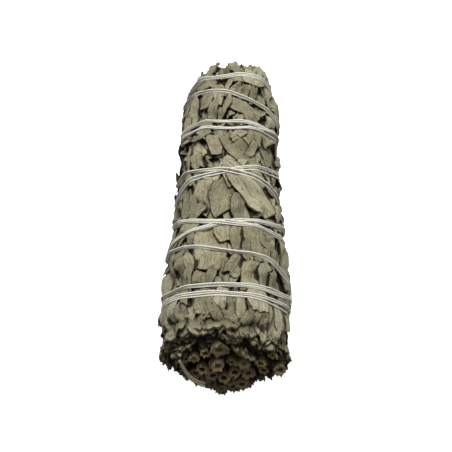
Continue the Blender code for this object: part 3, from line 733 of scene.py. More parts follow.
def lie_of(stations, angles, steps=STIFF_STEPS):
    """The height at which a stiff leaf comes to lie over the map at these places."""
    row, _ = cells(stations, angles)
    middle = angles.mean()
    column = (angles - middle) / COLUMN_ANGLE
    low_row, low_column = int(row.min()) - MAP_MARGIN, int(math.floor(column.min())) - MAP_MARGIN
    high_row, high_column = int(row.max()) + MAP_MARGIN, int(math.ceil(column.max())) + MAP_MARGIN
    rows = np.clip(np.arange(low_row, high_row + 1), 0, MAP_ROWS - 1)
    first = int(round(np.mod(middle, 2.0 * math.pi) / COLUMN_ANGLE))
    columns = (np.arange(low_column, high_column + 1) + first) % MAP_COLUMNS
    patch = height_map[rows][:, columns]
    for down, right in NEAR_CELLS:
        patch = np.maximum(patch, shifted(patch, down, right))
    for _ in range(steps):
        sides = shifted(patch, -STIFF_REACH, 0) + shifted(patch, STIFF_REACH, 0)
        sides += shifted(patch, 0, -STIFF_REACH) + shifted(patch, 0, STIFF_REACH)
        patch = np.maximum(patch, 0.25 * sides)
    row = np.clip(row - low_row, 0.0, patch.shape[0] - 1.001)
    column = np.clip(column - low_column, 0.0, patch.shape[1] - 1.001)
    i, j = row.astype(int), column.astype(int)
    a, b = row - i, column - j
    return between(patch, i, j, j + 1, a, b)


def finer(count, factor):
    """Weights that put new points between the points of a row."""
    places = np.linspace(0.0, count - 1.0, (count - 1) * factor + 1)
    low = np.minimum(places.astype(int), count - 2)
    share = places - low
    weights = np.zeros((len(places), count))
    weights[np.arange(len(places)), low] = 1.0 - share
    weights[np.arange(len(places)), low + 1] += share
    return weights


def raise_map(grid, stations, angles, radii):
    """Raises the map under one face of a leaf, whose points form a grid."""
    rows, columns = finer(grid[0], FINENESS), finer(grid[1], FINENESS).T
    fine = [rows @ values.reshape(grid) @ columns for values in (stations, angles, radii)]
    row, column = cells(fine[0], fine[1])
    i = np.clip(np.round(row).astype(int), 0, MAP_ROWS - 1)
    j = np.round(column).astype(int) % MAP_COLUMNS
    np.maximum.at(height_map, (i, j), fine[2])


print("map:", height_map.shape, "ground depth in mm:", round(float((map_envelope - ground).mean()) / MM, 2))

# %% [markdown]
# A leaf is laid by its middle, its heading (0 points to the leafy tip, 180 to the cut end), its length and
# width. It isn't made yet: its points are kept as stations, angles and radii until every leaf, stem and
# thread has its place, and only then turned into points of the frame.

# %% Laying a leaf
TILT_ACROSS = 0.10
TILT_ALONG = 0.025
SINK = 0.7
BEND = 0.10
FLATTEST = 0.5
AT_RIM = (-1.1 * MM, 1.1 * MM)
BEHIND_RIM = (1.0 * MM, 5.0 * MM)
FAR_BEHIND_RIM = (3.0 * MM, 8.0 * MM)
TIP_JITTER = 2.6 * MM
laid_leaves = []


def kept_on(stations, angles, draw, at_tip, from_rim):
    """Moves a leaf along, so that it ends near the rim of the cut face or near the tip."""
    rim = cut_face(angles, BUTT_RADIUS) + draw.uniform(*from_rim)
    short = np.min(stations - rim)
    if short < 0.0:
        stations = stations - short
    past_tip = draw.uniform(-TIP_JITTER, TIP_JITTER) if at_tip is None else at_tip
    over = stations.max() - FOLIAGE_LENGTH - past_tip
    if over > 0.0:
        stations = stations - over
    return stations


def face_points(form):
    """How many points one face of a leaf has."""
    return form["grid"][0] * form["grid"][1]


def lay(
    kind, station, angle, heading, length, width, draw, group=None, stiff=STIFF_STEPS, at_tip=None,
    from_rim=AT_RIM, tone=None, sink=SINK, bend=BEND,
):
    """Lays a leaf on the bundle and raises the map."""
    form = forms[kind][draw.integers(FORMS_OF_A_KIND)]
    x, y, up = form["points"].T
    x = x * length / FORM_LENGTH
    y = y * width / FORM_WIDTH * (1.0 if draw.random() < 0.5 else -1.0)
    bend = draw.uniform(-bend, bend) * length
    y = y + bend * (4.0 * (x / length) ** 2 - 0.5)
    size = envelope(station, angle)
    stations = station + x * math.cos(heading) - y * math.sin(heading)
    angles = angle + (x * math.sin(heading) + y * math.cos(heading)) / size
    stations = kept_on(stations, angles, draw, at_tip, from_rim)
    up = up * draw.uniform(FLATTEST, 1.0)
    up = up + draw.normal(0.0, TILT_ACROSS) * y + draw.normal(0.0, TILT_ALONG) * x
    up -= up.min() + sink * (np.mean(up) - up.min())
    radii = lie_of(stations, angles, stiff) + CLEARANCE + up
    face = face_points(form)
    raise_map(form["grid"], stations[-face:], angles[-face:], radii[-face:])
    raise_map(form["grid"], stations[:face], angles[:face], radii[:face])
    laid_leaves.append(
        {
            "form": form,
            "stations": stations,
            "angles": angles,
            "radii": radii,
            "tone": draw.uniform(0.0, 1.0) if tone is None else tone,
            "group": group,
        }
    )


SCATTER_FROM = -0.02
SCATTER_TO = 0.97
OFF_SPOT = 0.35


def heading_of(draw, spread, to_butt):
    """A heading along the bundle, for a share of the leaves towards the cut end."""
    return draw.normal(0.0, spread) + (math.pi if draw.random() < to_butt else 0.0)


def scatter(draw, rows, columns, kinds, lengths, widths, to_butt, spread, from_rim):
    """Lays leaves all over, from the cut end to the tip, each near its own spot of a loose grid."""
    for row in range(rows):
        for column in draw.permutation(columns):
            share = SCATTER_FROM + (SCATTER_TO - SCATTER_FROM) * (row + draw.uniform(0.0, 1.0)) / rows
            angle = 2.0 * math.pi * (column + 0.5 * (row % 2) + draw.uniform(-OFF_SPOT, OFF_SPOT)) / columns
            heading = heading_of(draw, spread, to_butt)
            kind = kinds[draw.integers(len(kinds))]
            narrow = 0.5 if kind == "strip" else 1.0
            lay(
                kind,
                share * FOLIAGE_LENGTH,
                angle,
                heading,
                draw.uniform(*lengths),
                narrow * draw.uniform(*widths),
                draw,
                from_rim=from_rim,
            )


print("leaf forms:", {kind: len(some) for kind, some in forms.items()})

# %% [markdown]
# Two layers go on first. The lower one closes most of the ground and stays dark between the others. The
# second is what shows on the sides and underneath: broad leaves with their tips mostly towards the cut end,
# some of them torn or folded narrow.

# %% Lower leaves
draw = np.random.default_rng(101)
scatter(
    draw,
    rows=11,
    columns=11,
    kinds=("lance", "torn", "round"),
    lengths=(15 * MM, 22 * MM),
    widths=(7 * MM, 10 * MM),
    to_butt=0.6,
    spread=0.45,
    from_rim=FAR_BEHIND_RIM,
)
print("leaves laid:", len(laid_leaves))

# %% Upper leaves
scatter(
    draw,
    rows=14,
    columns=11,
    kinds=("lance", "torn", "round", "torn", "strip", "lance"),
    lengths=(9 * MM, 18 * MM),
    widths=(5.0 * MM, 8.5 * MM),
    to_butt=0.75,
    spread=0.40,
    from_rim=BEHIND_RIM,
)
print("leaves laid:", len(laid_leaves))

# %% [markdown]
# The side of the bundle that the photograph hides, from one flank round underneath to the other, gets a
# last layer of its own, in the same mix of forms and mostly with the tips towards the cut end.

# %% Leaves of the hidden side
HIDDEN_FROM = math.radians(75.0)
HIDDEN_ROWS = 13
HIDDEN_COLUMNS = 7
HIDDEN_START = -0.03
HIDDEN_KINDS = ("lance", "torn", "round", "strip", "torn")
HIDDEN_SPREAD = 0.45
HIDDEN_TO_BUTT = 0.75
HIDDEN_LENGTHS = (9.0, 19.0)
HIDDEN_WIDTHS = (4.5, 8.5)
draw = np.random.default_rng(303)
for row in range(HIDDEN_ROWS):
    for column in range(HIDDEN_COLUMNS):
        turn = (2.0 * math.pi - 2.0 * HIDDEN_FROM) * (column + draw.uniform(0.1, 0.9)) / HIDDEN_COLUMNS
        angle = HIDDEN_FROM + turn
        share = HIDDEN_START + 1.0 * (row + draw.uniform(0.0, 1.0)) / HIDDEN_ROWS
        kind = HIDDEN_KINDS[draw.integers(len(HIDDEN_KINDS))]
        heading = heading_of(draw, HIDDEN_SPREAD, HIDDEN_TO_BUTT)
        width = draw.uniform(*HIDDEN_WIDTHS) * MM * (0.6 if kind == "strip" else 1.0)
        lay(kind, share * FOLIAGE_LENGTH, angle, heading, draw.uniform(*HIDDEN_LENGTHS) * MM, width, draw)
print("leaves laid:", len(laid_leaves))

# %% [markdown]
# Small torn bits sit in the hollows between the large leaves. The hollows are found on the map: the places
# that lie deepest under the mean of their surroundings, a few millimetres apart.

# %% Bits in the hollows
BITS = 200
BIT_APART = 2.6 * MM
BIT_SPREAD = 0.6
BIT_TO_BUTT = 0.7
BITS_FROM_RIM = 1.5 * MM
BITS_FROM_TIP = 2.0 * MM


def smoothed(source, reach, times):
    """The map's mean over a neighbourhood."""
    result = source.copy()
    for _ in range(times):
        sides = np.roll(result, reach, 1) + np.roll(result, -reach, 1)
        ends = shifted(result, reach, 0) + shifted(result, -reach, 0)
        result = (result + sides + ends) / 5.0
    return result


def on_foliage(start, end):
    """The cells of the map between the cut end and the tip."""
    rim = cut_face(map_angles[None, :], BUTT_RADIUS)
    return (map_stations[:, None] > rim + start) & (map_stations[:, None] < FOLIAGE_LENGTH - end)


def fill_hollows(draw, count, lengths, widths, sink):
    """Lays small bits in the deepest hollows of the map."""
    inside = on_foliage(BITS_FROM_RIM, BITS_FROM_TIP)
    hollow = np.where(inside, smoothed(height_map, 5, 6) - height_map, -1.0)
    reach = int(BIT_APART / CELL)
    for _ in range(count):
        i, j = np.unravel_index(int(np.argmax(hollow)), hollow.shape)
        rows = np.arange(max(i - reach, 0), min(i + reach + 1, MAP_ROWS))
        columns = np.arange(j - reach, j + reach + 1) % MAP_COLUMNS
        hollow[np.ix_(rows, columns)] = -1.0
        heading = heading_of(draw, BIT_SPREAD, BIT_TO_BUTT)
        length, width = draw.uniform(*lengths) * MM, draw.uniform(*widths) * MM
        lay("bit", map_stations[i], map_angles[j], heading, length, width, draw, stiff=2, sink=sink)


fill_hollows(np.random.default_rng(404), BITS, lengths=(5.0, 10.0), widths=(2.6, 5.0), sink=0.8)
print("leaves laid:", len(laid_leaves))

# %% [markdown]
# The leaves that stand out in the photograph are laid one by one on top of the others. Each is read from the
# picture by the pixel of its root, the pixel of its free end and its width in millimetres. A ray from the
# camera through the pixel meets the bundle at the leaf's station and angle, so the leaf lies on the bundle
# seen from any side. A few more bits then fill what is still hollow, and the long leaf that hangs loose in
# the middle is laid last.

# %% Leaves read from the photograph
FOCAL = LENS / SENSOR * PICTURE
RAY_NEARER = 45 * MM
RAY_FURTHER = 60 * MM
RAY_STEP = 0.1 * MM
RIGHT = Vector((math.cos(CAMERA_AZIMUTH), math.sin(CAMERA_AZIMUTH), 0.0))
ABOVE = towards_camera.cross(RIGHT)

READ_LEAVES = (
    ("torn", (208, 246), (208, 274), 8.5),
    ("round", (208, 224), (208, 268), 9.5),
    ("torn", (224, 219), (227, 239), 6.5),
    ("torn", (240, 222), (238, 248), 4.2),
    ("lance", (262, 226), (270, 246), 4.5),
    ("torn", (251, 224), (259, 266), 6.5),
    ("strip", (266, 250), (270, 279), 4.5),
    ("torn", (282, 238), (289, 280), 4.5),
    ("lance", (187, 228), (176, 248), 4.0),
    ("round", (197, 226), (182, 228), 3.6),
    ("lance", (178, 230), (168, 256), 4.0),
    ("lance", (186, 250), (170, 270), 3.8),
    ("strip", (188, 258), (172, 282), 5.0),
    ("lance", (188, 252), (193, 279), 3.2),
    ("strip", (226, 256), (224, 284), 3.0),
    ("torn", (247, 252), (230, 274), 5.8),
    ("torn", (253, 262), (250, 288), 5.5),
    ("strip", (262, 264), (268, 286), 5.0),
    ("torn", (183, 273), (178, 291), 3.2),
    ("torn", (203, 272), (196, 292), 5.0),
    ("torn", (216, 275), (212, 296), 4.5),
    ("torn", (165, 296), (162, 328), 5.0),
    ("torn", (182, 292), (175, 323), 4.6),
    ("strip", (187, 296), (189, 329), 4.0),
    ("torn", (201, 288), (202, 313), 5.6),
    ("strip", (213, 288), (214, 316), 4.4),
    ("torn", (223, 286), (219, 309), 4.0),
    ("strip", (233, 296), (234, 318), 4.0),
    ("torn", (245, 290), (240, 320), 3.6),
    ("torn", (261, 298), (262, 333), 9.0),
    ("torn", (258, 288), (260, 311), 7.4),
    ("strip", (279, 300), (281, 340), 4.6),
    ("round", (284, 294), (288, 332), 4.6),
    ("lance", (214, 75), (198, 94), 5.4),
    ("rolled", (211, 77), (217, 58), 1.9),
    ("lance", (225, 76), (222, 64), 4.4),
    ("lance", (232, 78), (228, 57), 3.8),
    ("round", (257, 88), (243, 58), 8.0),
    ("strip", (268, 76), (272, 98), 4.0),
    ("lance", (245, 73), (246, 97), 6.0),
    ("strip", (257, 83), (265, 108), 5.5),
    ("torn", (236, 74), (230, 92), 3.4),
    ("lance", (206, 74), (190, 100), 3.0),
    ("lance", (270, 93), (282, 122), 4.6),
    ("torn", (229, 103), (263, 116), 5.0),
    ("round", (211, 93), (204, 110), 4.2),
    ("lance", (196, 96), (190, 128), 4.8),
    ("lance", (227, 88), (218, 119), 4.6),
    ("torn", (246, 112), (262, 131), 4.5),
    ("strip", (206, 120), (199, 136), 3.6),
    ("torn", (224, 124), (208, 140), 5.2),
    ("torn", (213, 135), (216, 152), 4.8),
    ("torn", (242, 126), (252, 142), 4.4),
    ("torn", (259, 128), (270, 146), 4.4),
    ("round", (188, 144), (204, 157), 4.6),
    ("torn", (184, 128), (180, 150), 3.4),
    ("lance", (190, 146), (186, 170), 3.2),
    ("torn", (197, 155), (198, 168), 4.6),
    ("torn", (233, 153), (219, 167), 4.2),
    ("lance", (258, 142), (258, 164), 3.6),
    ("torn", (266, 150), (272, 166), 4.0),
    ("round", (223, 133), (252, 164), 5.6),
    ("torn", (253, 162), (262, 180), 4.4),
    ("torn", (266, 166), (273, 188), 4.0),
    ("torn", (214, 168), (207, 184), 4.6),
    ("torn", (188, 170), (182, 188), 3.8),
    ("torn", (207, 180), (198, 212), 6.2),
    ("lance", (226, 177), (215, 216), 9.0),
    ("torn", (187, 190), (181, 221), 6.0),
    ("torn", (240, 190), (240, 219), 5.2),
    ("torn", (262, 186), (268, 196), 4.0),
    ("lance", (272, 192), (278, 224), 3.6),
    ("whole", (265, 96), (268, 70), 8.0),
    ("whole", (238, 82), (241, 54), 9.0),
    ("whole", (252, 86), (256, 58), 10.0),
    ("torn", (190, 118), (183, 146), 4.0),
    ("torn", (285, 266), (290, 300), 5.0),
    ("lance", (272, 258), (282, 294), 4.6),
    ("strip", (174, 296), (170, 330), 4.0),
)


def on_bundle(pixel):
    """Station and angle of the bundle behind a pixel of the photograph."""
    across, down = (pixel[0] - 0.5 * PICTURE) / FOCAL, (pixel[1] - 0.5 * PICTURE) / FOCAL
    ray = (-towards_camera + across * RIGHT - down * ABOVE).normalized()
    near, far = CAMERA_DISTANCE - RAY_NEARER, CAMERA_DISTANCE + RAY_FURTHER
    best = None
    for distance in np.arange(near, far, RAY_STEP).tolist():
        place = camera_place + distance * ray
        station = place.y + MIDDLE_STATION
        x, z = place.x + MIDDLE_X, place.z - axis_height(station)
        angle, radius = math.atan2(x, z), math.hypot(x, z)
        gap = radius - envelope(station, angle)
        if best is None or gap < best[0]:
            best = (gap, station, angle)
        if gap <= 0.0:
            break
    return float(best[1]), float(best[2])


def lay_between(kind, root, end, width, draw, **more):
    """Lays a leaf from one pixel to another."""
    (station_a, angle_a), (station_b, angle_b) = on_bundle(root), on_bundle(end)
    station, angle = 0.5 * (station_a + station_b), 0.5 * (angle_a + angle_b)
    along = station_b - station_a
    around = (angle_b - angle_a) * envelope(station, angle)
    length, heading = math.hypot(along, around), math.atan2(around, along)
    lay(kind, station, angle, heading, length, width * MM, draw, **more)


FOLIAGE_OVER = 4.2 * MM
LAST_BITS = 90
draw = np.random.default_rng(202)
for kind, root, end, width in READ_LEAVES:
    lay_between(kind, root, end, width, draw, stiff=3, at_tip=FOLIAGE_OVER)
fill_hollows(np.random.default_rng(212), LAST_BITS, lengths=(4.0, 7.0), widths=(2.0, 3.4), sink=1.4)
LOOSE_LEAF = "loose_leaf_1"
lay_between(
    "whole", (225, 162), (271, 217), 6.0, draw, group=LOOSE_LEAF, tone=0.85, bend=0.0, stiff=3, sink=1.2
)
print("leaves laid:", len(laid_leaves))

# %% [markdown]
# The thread is wound up the bundle in six turns and back down in five, from a knot near the cut end to one
# near the tip. Its way is the one that the solids were made with: the stations that each turn has at the
# left side, the top and the right side, in millimetres, joined by a smooth curve.

# %% The way of the thread
KNOT_ANGLE = 108.0
BUTT_KNOT = 8.4 * MM
TIP_KNOT = 84.8 * MM
TURNS_UP = (
    (10.5, 10.0, 10.3),
    (12.6, 12.7, 14.0),
    (26.0, 31.4, 35.5),
    (46.0, 48.7, 55.5),
    (68.0, 67.4, 69.4),
    (86.0, 85.0, 86.0),
)
TURNS_DOWN = (
    (82.4, 77.8, 74.1),
    (67.4, 64.6, 66.4),
    (52.4, 48.7, 44.6),
    (35.8, 31.2, 31.0),
    (26.2, 22.6, 17.6),
)
WAY_STEPS = 250


def thread_way(start, turns, end):
    """Stations and angles of the thread from knot to knot."""
    first = math.radians(KNOT_ANGLE) - 2.0 * math.pi
    last = math.radians(KNOT_ANGLE) + 2.0 * math.pi * (len(turns) - 1)
    key_angles, key_stations = [first], [start]
    for number, stations in enumerate(turns):
        for quarter, station in zip((-1, 0, 1), stations):
            key_angles.append(2.0 * math.pi * number + 0.5 * math.pi * quarter)
            key_stations.append(station * MM)
    key_angles, key_stations = np.array(key_angles + [last]), np.array(key_stations + [end])
    slopes = np.zeros(len(key_angles))
    slopes[1:-1] = (key_stations[2:] - key_stations[:-2]) / (key_angles[2:] - key_angles[:-2])
    angles = np.linspace(first, last, WAY_STEPS * len(turns) + 1)
    j = np.clip(np.searchsorted(key_angles, angles, side="right") - 1, 0, len(key_angles) - 2)
    span = key_angles[j + 1] - key_angles[j]
    t = (angles - key_angles[j]) / span
    stations = key_stations[j] + (key_stations[j + 1] - key_stations[j]) * smooth_step(t)
    stations += span * (slopes[j] * t * (1.0 - t) ** 2 - slopes[j + 1] * t * t * (1.0 - t))
    return stations, angles


ways = (thread_way(BUTT_KNOT, TURNS_UP, TIP_KNOT), thread_way(TIP_KNOT, TURNS_DOWN, BUTT_KNOT))
print("turns of the thread:", len(TURNS_UP) + len(TURNS_DOWN))

# %% [markdown]
# The pile of leaves is higher in some places than in others, but the maker's hands press it to an even
# form. The broad hills of the map, more than a leaf wide, are therefore taken off all leaves alike, and the
# small steps from leaf to leaf stay. What still stands out too far is drawn in, and near the floor all is
# squeezed flat, so that the bundle rests on its underside. Each rule keeps the order of what lies on what.

# %% Settling
SETTLED_AT = -0.55 * MM
RELIEF_SHARE = 0.85
RUFFLE = 0.42 * MM
RUFFLE_BACK = 5.0 * MM
HILL_REACH = 6
HILL_TIMES = 30
SQUEEZE_FROM = 0.0 * MM
SQUEEZE_ROOM = 0.9 * MM
FLOOR_ZONE = 1.4 * MM
FLOOR_GAP = 0.06 * MM
RUFFLES = ((1.0, 23.0, 0.5, 0.0), (0.7, 41.0, -0.8, 1.0), (0.6, 13.0, 0.3, 2.0))

covered = on_foliage(0.0, 1.0 * MM)
weight_map = smoothed(covered.astype(float), HILL_REACH, HILL_TIMES)
hills = smoothed(np.where(covered, height_map - map_envelope, 0.0), HILL_REACH, HILL_TIMES)
hills = hills / np.maximum(weight_map, 0.02)


def squeezed(over):
    """Height over the form, drawn in where it stands out."""
    extra = np.maximum(over - SQUEEZE_FROM, 0.0)
    return np.where(over > SQUEEZE_FROM, SQUEEZE_FROM + SQUEEZE_ROOM * np.tanh(extra / SQUEEZE_ROOM), over)


def pressed(over):
    """Height over the form after pressing, from the height over it and its hills."""
    return squeezed(RELIEF_SHARE * over + SETTLED_AT)


def settled_radii(stations, angles, radii):
    form = envelope(stations, angles)
    return form + pressed(radii - read_map(hills, stations, angles) - form)


def ruffle(stations, angles, radii):
    """The waves of the leaf ends at the cut, nested from layer to layer."""
    near = smooth_step(1.0 - (stations - cut_face(angles, BUTT_RADIUS)) / RUFFLE_BACK)
    depth = (BUTT_RADIUS - radii) / MM
    wave = 0.0
    for size, turns, drift, start in RUFFLES:
        wave = wave + size * np.sin(turns * angles + drift * depth + start)
    return RUFFLE * near * wave


surface_map = map_envelope + pressed(height_map - hills - map_envelope)
relief = (surface_map - map_envelope)[covered]
spread = [round(float(np.percentile(relief, p)) / MM, 2) for p in (1, 10, 50, 90, 99)]
print("surface to the form in mm:", spread)

# %% [markdown]
# Three strands of cotton run side by side, closer here and fanned out there. They are pulled tight: a
# strand sinks into the leaves to a part of its thickness, bridges the hollows, and where strands cross, the
# later one lies on the earlier one, because each strand raises the strand map. The leaves give way under
# the thread, so a second map holds how high they may stand near it.

# %% Strands of the thread
STRANDS = 3
STRAND_RADIUS = 0.22 * MM
STRAND_SINK = 0.30 * MM
TAUT_STEPS = 400
CAP_REACH = 11
CAP_SLOPE = 0.55
CAP_ZONE = 0.5 * MM
CAP_UNDER = 0.25
OVER_STRAND = 0.6
FINE_SUPPORT = 0.4
BROAD_SUPPORT = 0.6
CAP_HIGH = 5.0 * MM
STRANDS_APART = 0.40
APART_WAVE = 0.14
FANNED = 0.42
FAN_SHARPNESS = 9.0
FAN_AT = 0.6
TRADING = 0.45
DRIFT = 0.09
FINE_DRIFT = 0.06
MEET_OVER = 0.6


def strand_way(way, number, seed):
    """The way of one strand: beside the other, nearer here and further there."""
    stations, angles = way
    draw = np.random.default_rng(seed)
    phase = draw.uniform(0.0, 6.3, 4)
    fan = np.exp(-FAN_SHARPNESS * np.sin(0.5 * angles - FAN_AT) ** 2)
    apart = STRANDS_APART + APART_WAVE * np.sin(0.61 * angles + phase[0]) ** 3 + FANNED * fan
    trade = np.sin((0.31 + 0.11 * number) * angles + phase[1] + 2.1 * number)
    drift = DRIFT * np.sin(2.3 * angles + phase[2] + number)
    drift = drift + FINE_DRIFT * np.sin(5.1 * angles + phase[3] + 2.0 * number)
    ends = smooth_step(np.minimum(angles - angles[0], angles[-1] - angles) / MEET_OVER)
    aside = apart * ((number - 1) * 0.8 + TRADING * trade) + drift
    return stations + aside * MM * ends, angles


def lay_strand(stations, angles, half):
    """The taut radii of a strand, which then raises the strand map."""
    asides = np.array([-0.8, -0.4, 0.0, 0.4, 0.8]) * half
    taut = np.max([read_map(strand_map, stations + aside, angles) for aside in asides], axis=0) + half
    step = angles[1] - angles[0]
    for _ in range(TAUT_STEPS):
        before, after = taut[:-2], taut[2:]
        chord = 2.0 * before * after * math.cos(step) / (before + after)
        taut[1:-1] = np.maximum(taut[1:-1], chord)
    for aside in np.linspace(-1.0, 1.0, 5) * half:
        row, column = cells(stations + aside, angles)
        i, j = np.round(row).astype(int), np.round(column).astype(int) % MAP_COLUMNS
        np.maximum.at(strand_map, (i, j), taut + OVER_STRAND * half)
    return taut


fine, broad = smoothed(surface_map, 2, 6), smoothed(surface_map, 5, 24)
strand_map = FINE_SUPPORT * fine + BROAD_SUPPORT * broad - STRAND_SINK
strands = []
for run, way in enumerate(ways):
    for number in range(STRANDS):
        stations, angles = strand_way(way, number, 70 + 10 * run)
        strands.append((stations, angles, lay_strand(stations, angles, STRAND_RADIUS)))

cap_map = map_envelope + CAP_HIGH
for stations, angles, radii in strands:
    row, column = cells(stations, angles)
    row, column = np.round(row).astype(int), np.round(column).astype(int)
    for down in range(-CAP_REACH, CAP_REACH + 1):
        for right in range(-CAP_REACH, CAP_REACH + 1):
            away = max(CELL * math.hypot(down, right) - STRAND_RADIUS, 0.0)
            spot = (np.clip(row + down, 0, MAP_ROWS - 1), (column + right) % MAP_COLUMNS)
            np.minimum.at(cap_map, spot, radii - CAP_UNDER * STRAND_RADIUS + CAP_SLOPE * away)


def settled(stations, angles, radii):
    """Points of the frame: pressed to the form, held down by the thread and laid on the floor."""
    radii = settled_radii(stations, angles, radii)
    cap = read_map(cap_map, stations, angles)
    above = np.maximum(radii - cap + CAP_ZONE, 0.0)
    radii = np.where(radii > cap - CAP_ZONE, cap - CAP_ZONE * np.exp(-above / CAP_ZONE), radii)
    points = in_frame(stations, angles, radii + ruffle(stations, angles, radii))
    low = np.minimum(points[:, 2] - FLOOR_ZONE, 0.0)
    points[:, 2] = np.where(
        points[:, 2] < FLOOR_ZONE,
        FLOOR_GAP + (FLOOR_ZONE - FLOOR_GAP) * np.exp(low / (FLOOR_ZONE - FLOOR_GAP)),
        points[:, 2],
    )
    return points


highest = max(float((r - envelope(s, a)).max()) for s, a, r in strands)
print("strands:", len(strands), "highest over the form in mm:", round(highest / MM, 2))

# %% [markdown]
# Each leaf is now a copy of its form with its own mesh and its points in place. Leaves that the others hide
# all over are left out. The copies are joined to one piece for each sprig of the solids, by the side of the
# bundle that they lie on. The depth of every point below the top of the map is written to the attribute
# that paints shade on what lies deep, and a point close under the edge of a higher leaf gets that shade too.

# %% Leaves become pieces
WADS = 8
SEAM_WAVE = math.radians(8.0)
SEAM_PITCH = 33.0 * MM
SEAM_TWIST = math.radians(160.0)
DEEP_FROM = 0.25 * MM
DEEP_RANGE = 1.3 * MM
SUNK_FROM = 0.8 * MM
SHOWING = 0.03
SUNK_SHARE = 0.8
DEEP_AT_CUT = 0.5
CUT_LIGHT_REACH = 2.5 * MM
OPEN_UNDER = 0.35 * MM
AT_CUT_END = 3.0 * MM


def seam_angle(k, station):
    wave = SEAM_WAVE * math.sin(2.0 * math.pi * station / SEAM_PITCH + 2.1 * (k % WADS))
    return 2.0 * math.pi * k / WADS + SEAM_TWIST * station + wave


def wad_at(station, angle):
    """Which of the sprigs lies at a place."""
    turned = (angle - seam_angle(0, station)) % (2.0 * math.pi)
    return int(turned / (2.0 * math.pi) * WADS) % WADS


around_map = smoothed(height_map, 4, 5)
edge_map = height_map.copy()
for down, right in ((-1, 0), (1, 0), (0, -1), (0, 1)):
    edge_map = np.maximum(edge_map, shifted(height_map, down, right))


def write_attribute(mesh, name, values):
    attribute = mesh.attributes.get(name) or mesh.attributes.new(name, "FLOAT", "POINT")
    attribute.data.foreach_set("value", np.asarray(values, dtype=np.float32))


def painted_shade_of(stations, angles, radii):
    """How much painted shade a point gets: 0 in the open and 1 far below its surroundings, less near the
    cut.
    """
    covered_by = read_map(height_map, stations, angles) - radii - DEEP_FROM - LEAF_THICKNESS
    sunk = SUNK_SHARE * (read_map(around_map, stations, angles) - radii - SUNK_FROM)
    beside = SUNK_SHARE * (read_map(edge_map, stations, angles) - radii - DEEP_FROM - LEAF_THICKNESS)
    painted_shade = np.clip(np.maximum(np.maximum(covered_by, sunk), beside) / DEEP_RANGE, 0.0, 1.0)
    behind = smooth_step((stations - cut_face(angles, BUTT_RADIUS)) / CUT_LIGHT_REACH)
    return painted_shade * mix(DEEP_AT_CUT, 1.0, behind)


def is_seen(leaf):
    """Whether a leaf comes to the surface, or to the cut end."""
    face = face_points(leaf["form"])
    stations, angles, radii = (leaf[name][:face] for name in ("stations", "angles", "radii"))
    open_share = np.mean(radii > read_map(height_map, stations, angles) - OPEN_UNDER - LEAF_THICKNESS)
    return open_share > SHOWING or stations.min() < AT_CUT_END


def copy_of(form, points, painted_shade, tone):
    """A copy of a form with its own mesh, its points in place and its two attributes."""
    copy = form["object"].copy()
    copy.data = form["object"].data.copy()
    bpy.context.scene.collection.objects.link(copy)
    copy.data.vertices.foreach_set("co", points.astype(np.float32).ravel())
    write_attribute(copy.data, "painted_shade", painted_shade)
    write_attribute(copy.data, "tone", np.full(len(points), tone))
    copy.data.update()
    return copy


def make_leaf(leaf):
    place = (leaf["stations"], leaf["angles"], leaf["radii"])
    return copy_of(leaf["form"], settled(*place), painted_shade_of(*place), leaf["tone"])


def joined(objects, name, paint):
    """Joins objects to one piece at the origin, with one material and its faces pointing out."""
    bpy.ops.object.select_all(action="DESELECT")
    for obj in objects:
        obj.select_set(True)
    bpy.context.view_layer.objects.active = objects[0]
    if len(objects) > 1:
        bpy.ops.object.join()
    piece = bpy.context.view_layer.objects.active
    piece.name = name
    piece.data.name = name
    piece.data.materials.clear()
    piece.data.materials.append(paint)
    bpy.ops.object.mode_set(mode="EDIT")
    bpy.ops.mesh.select_all(action="SELECT")
    bpy.ops.mesh.normals_make_consistent(inside=False)
    bpy.ops.object.mode_set(mode="OBJECT")
    piece.select_set(False)
    return piece


def finished(objects, name, paint, slot, *nodes):
    """Joins objects to a piece that rides on the body and, where nodes are named, stands for solids."""
    piece = joined(objects, name, paint)
    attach(piece, "root")
    if nodes:
        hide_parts(*nodes)
    print(name, "faces:", len(piece.data.polygons))


shown_leaves = [leaf for leaf in laid_leaves if is_seen(leaf)]
groups = {}
for leaf in shown_leaves:
    middle = face_points(leaf["form"]) // 2
    name = leaf["group"] or f"sprig_leaves_{wad_at(leaf['stations'][middle], leaf['angles'][middle]) + 1}"
    groups.setdefault(name, []).append(make_leaf(leaf))
ALSO_FOR = {
    "sprig_leaves_2": ("loose_leaf_2", "loose_leaf_3"),
    "sprig_leaves_8": ("loose_leaf_4", "loose_leaf_6"),
    "sprig_leaves_6": ("loose_leaf_5",),
}
for name, copies in sorted(groups.items()):
    finished(copies, f"dried_{name}", LEAF, "sage_leaf", name, *ALSO_FOR.get(name, ()))
print("leaves shown:", len(shown_leaves), "of", len(laid_leaves))

# %% [markdown]
# The heart of the bundle closes the view between the leaves with painted shade. It is one lumpy near-black
# body from behind the cut stems to behind the tip leaves: a grid rolled up to a tube whose rings follow the
# form, some millimetres under the leaves.

# %% The dark heart
HEART_START = 5.0 * MM
HEART_END = 0.90 * FOLIAGE_LENGTH
HEART_RINGS = 60
HEART_SIDES = 72
HEART_UNDER = 4.4 * MM
HEART_LUMP = 0.6 * MM
HEART_ROUNDING = 8.0
HEART_SMOOTH_BELOW = math.radians(60.0)
WELD = 0.001 * MM


def tube(rows, sides, name):
    """A grid that is to be rolled up: its object, and the row and the angle of every point."""
    bpy.ops.mesh.primitive_grid_add(x_subdivisions=rows - 1, y_subdivisions=sides, size=1.0)
    obj = bpy.context.object
    obj.name = name
    count = len(obj.data.vertices)
    row = np.arange(count) % rows
    angles = 2.0 * math.pi * (np.arange(count) // rows) / sides
    return obj, row, angles


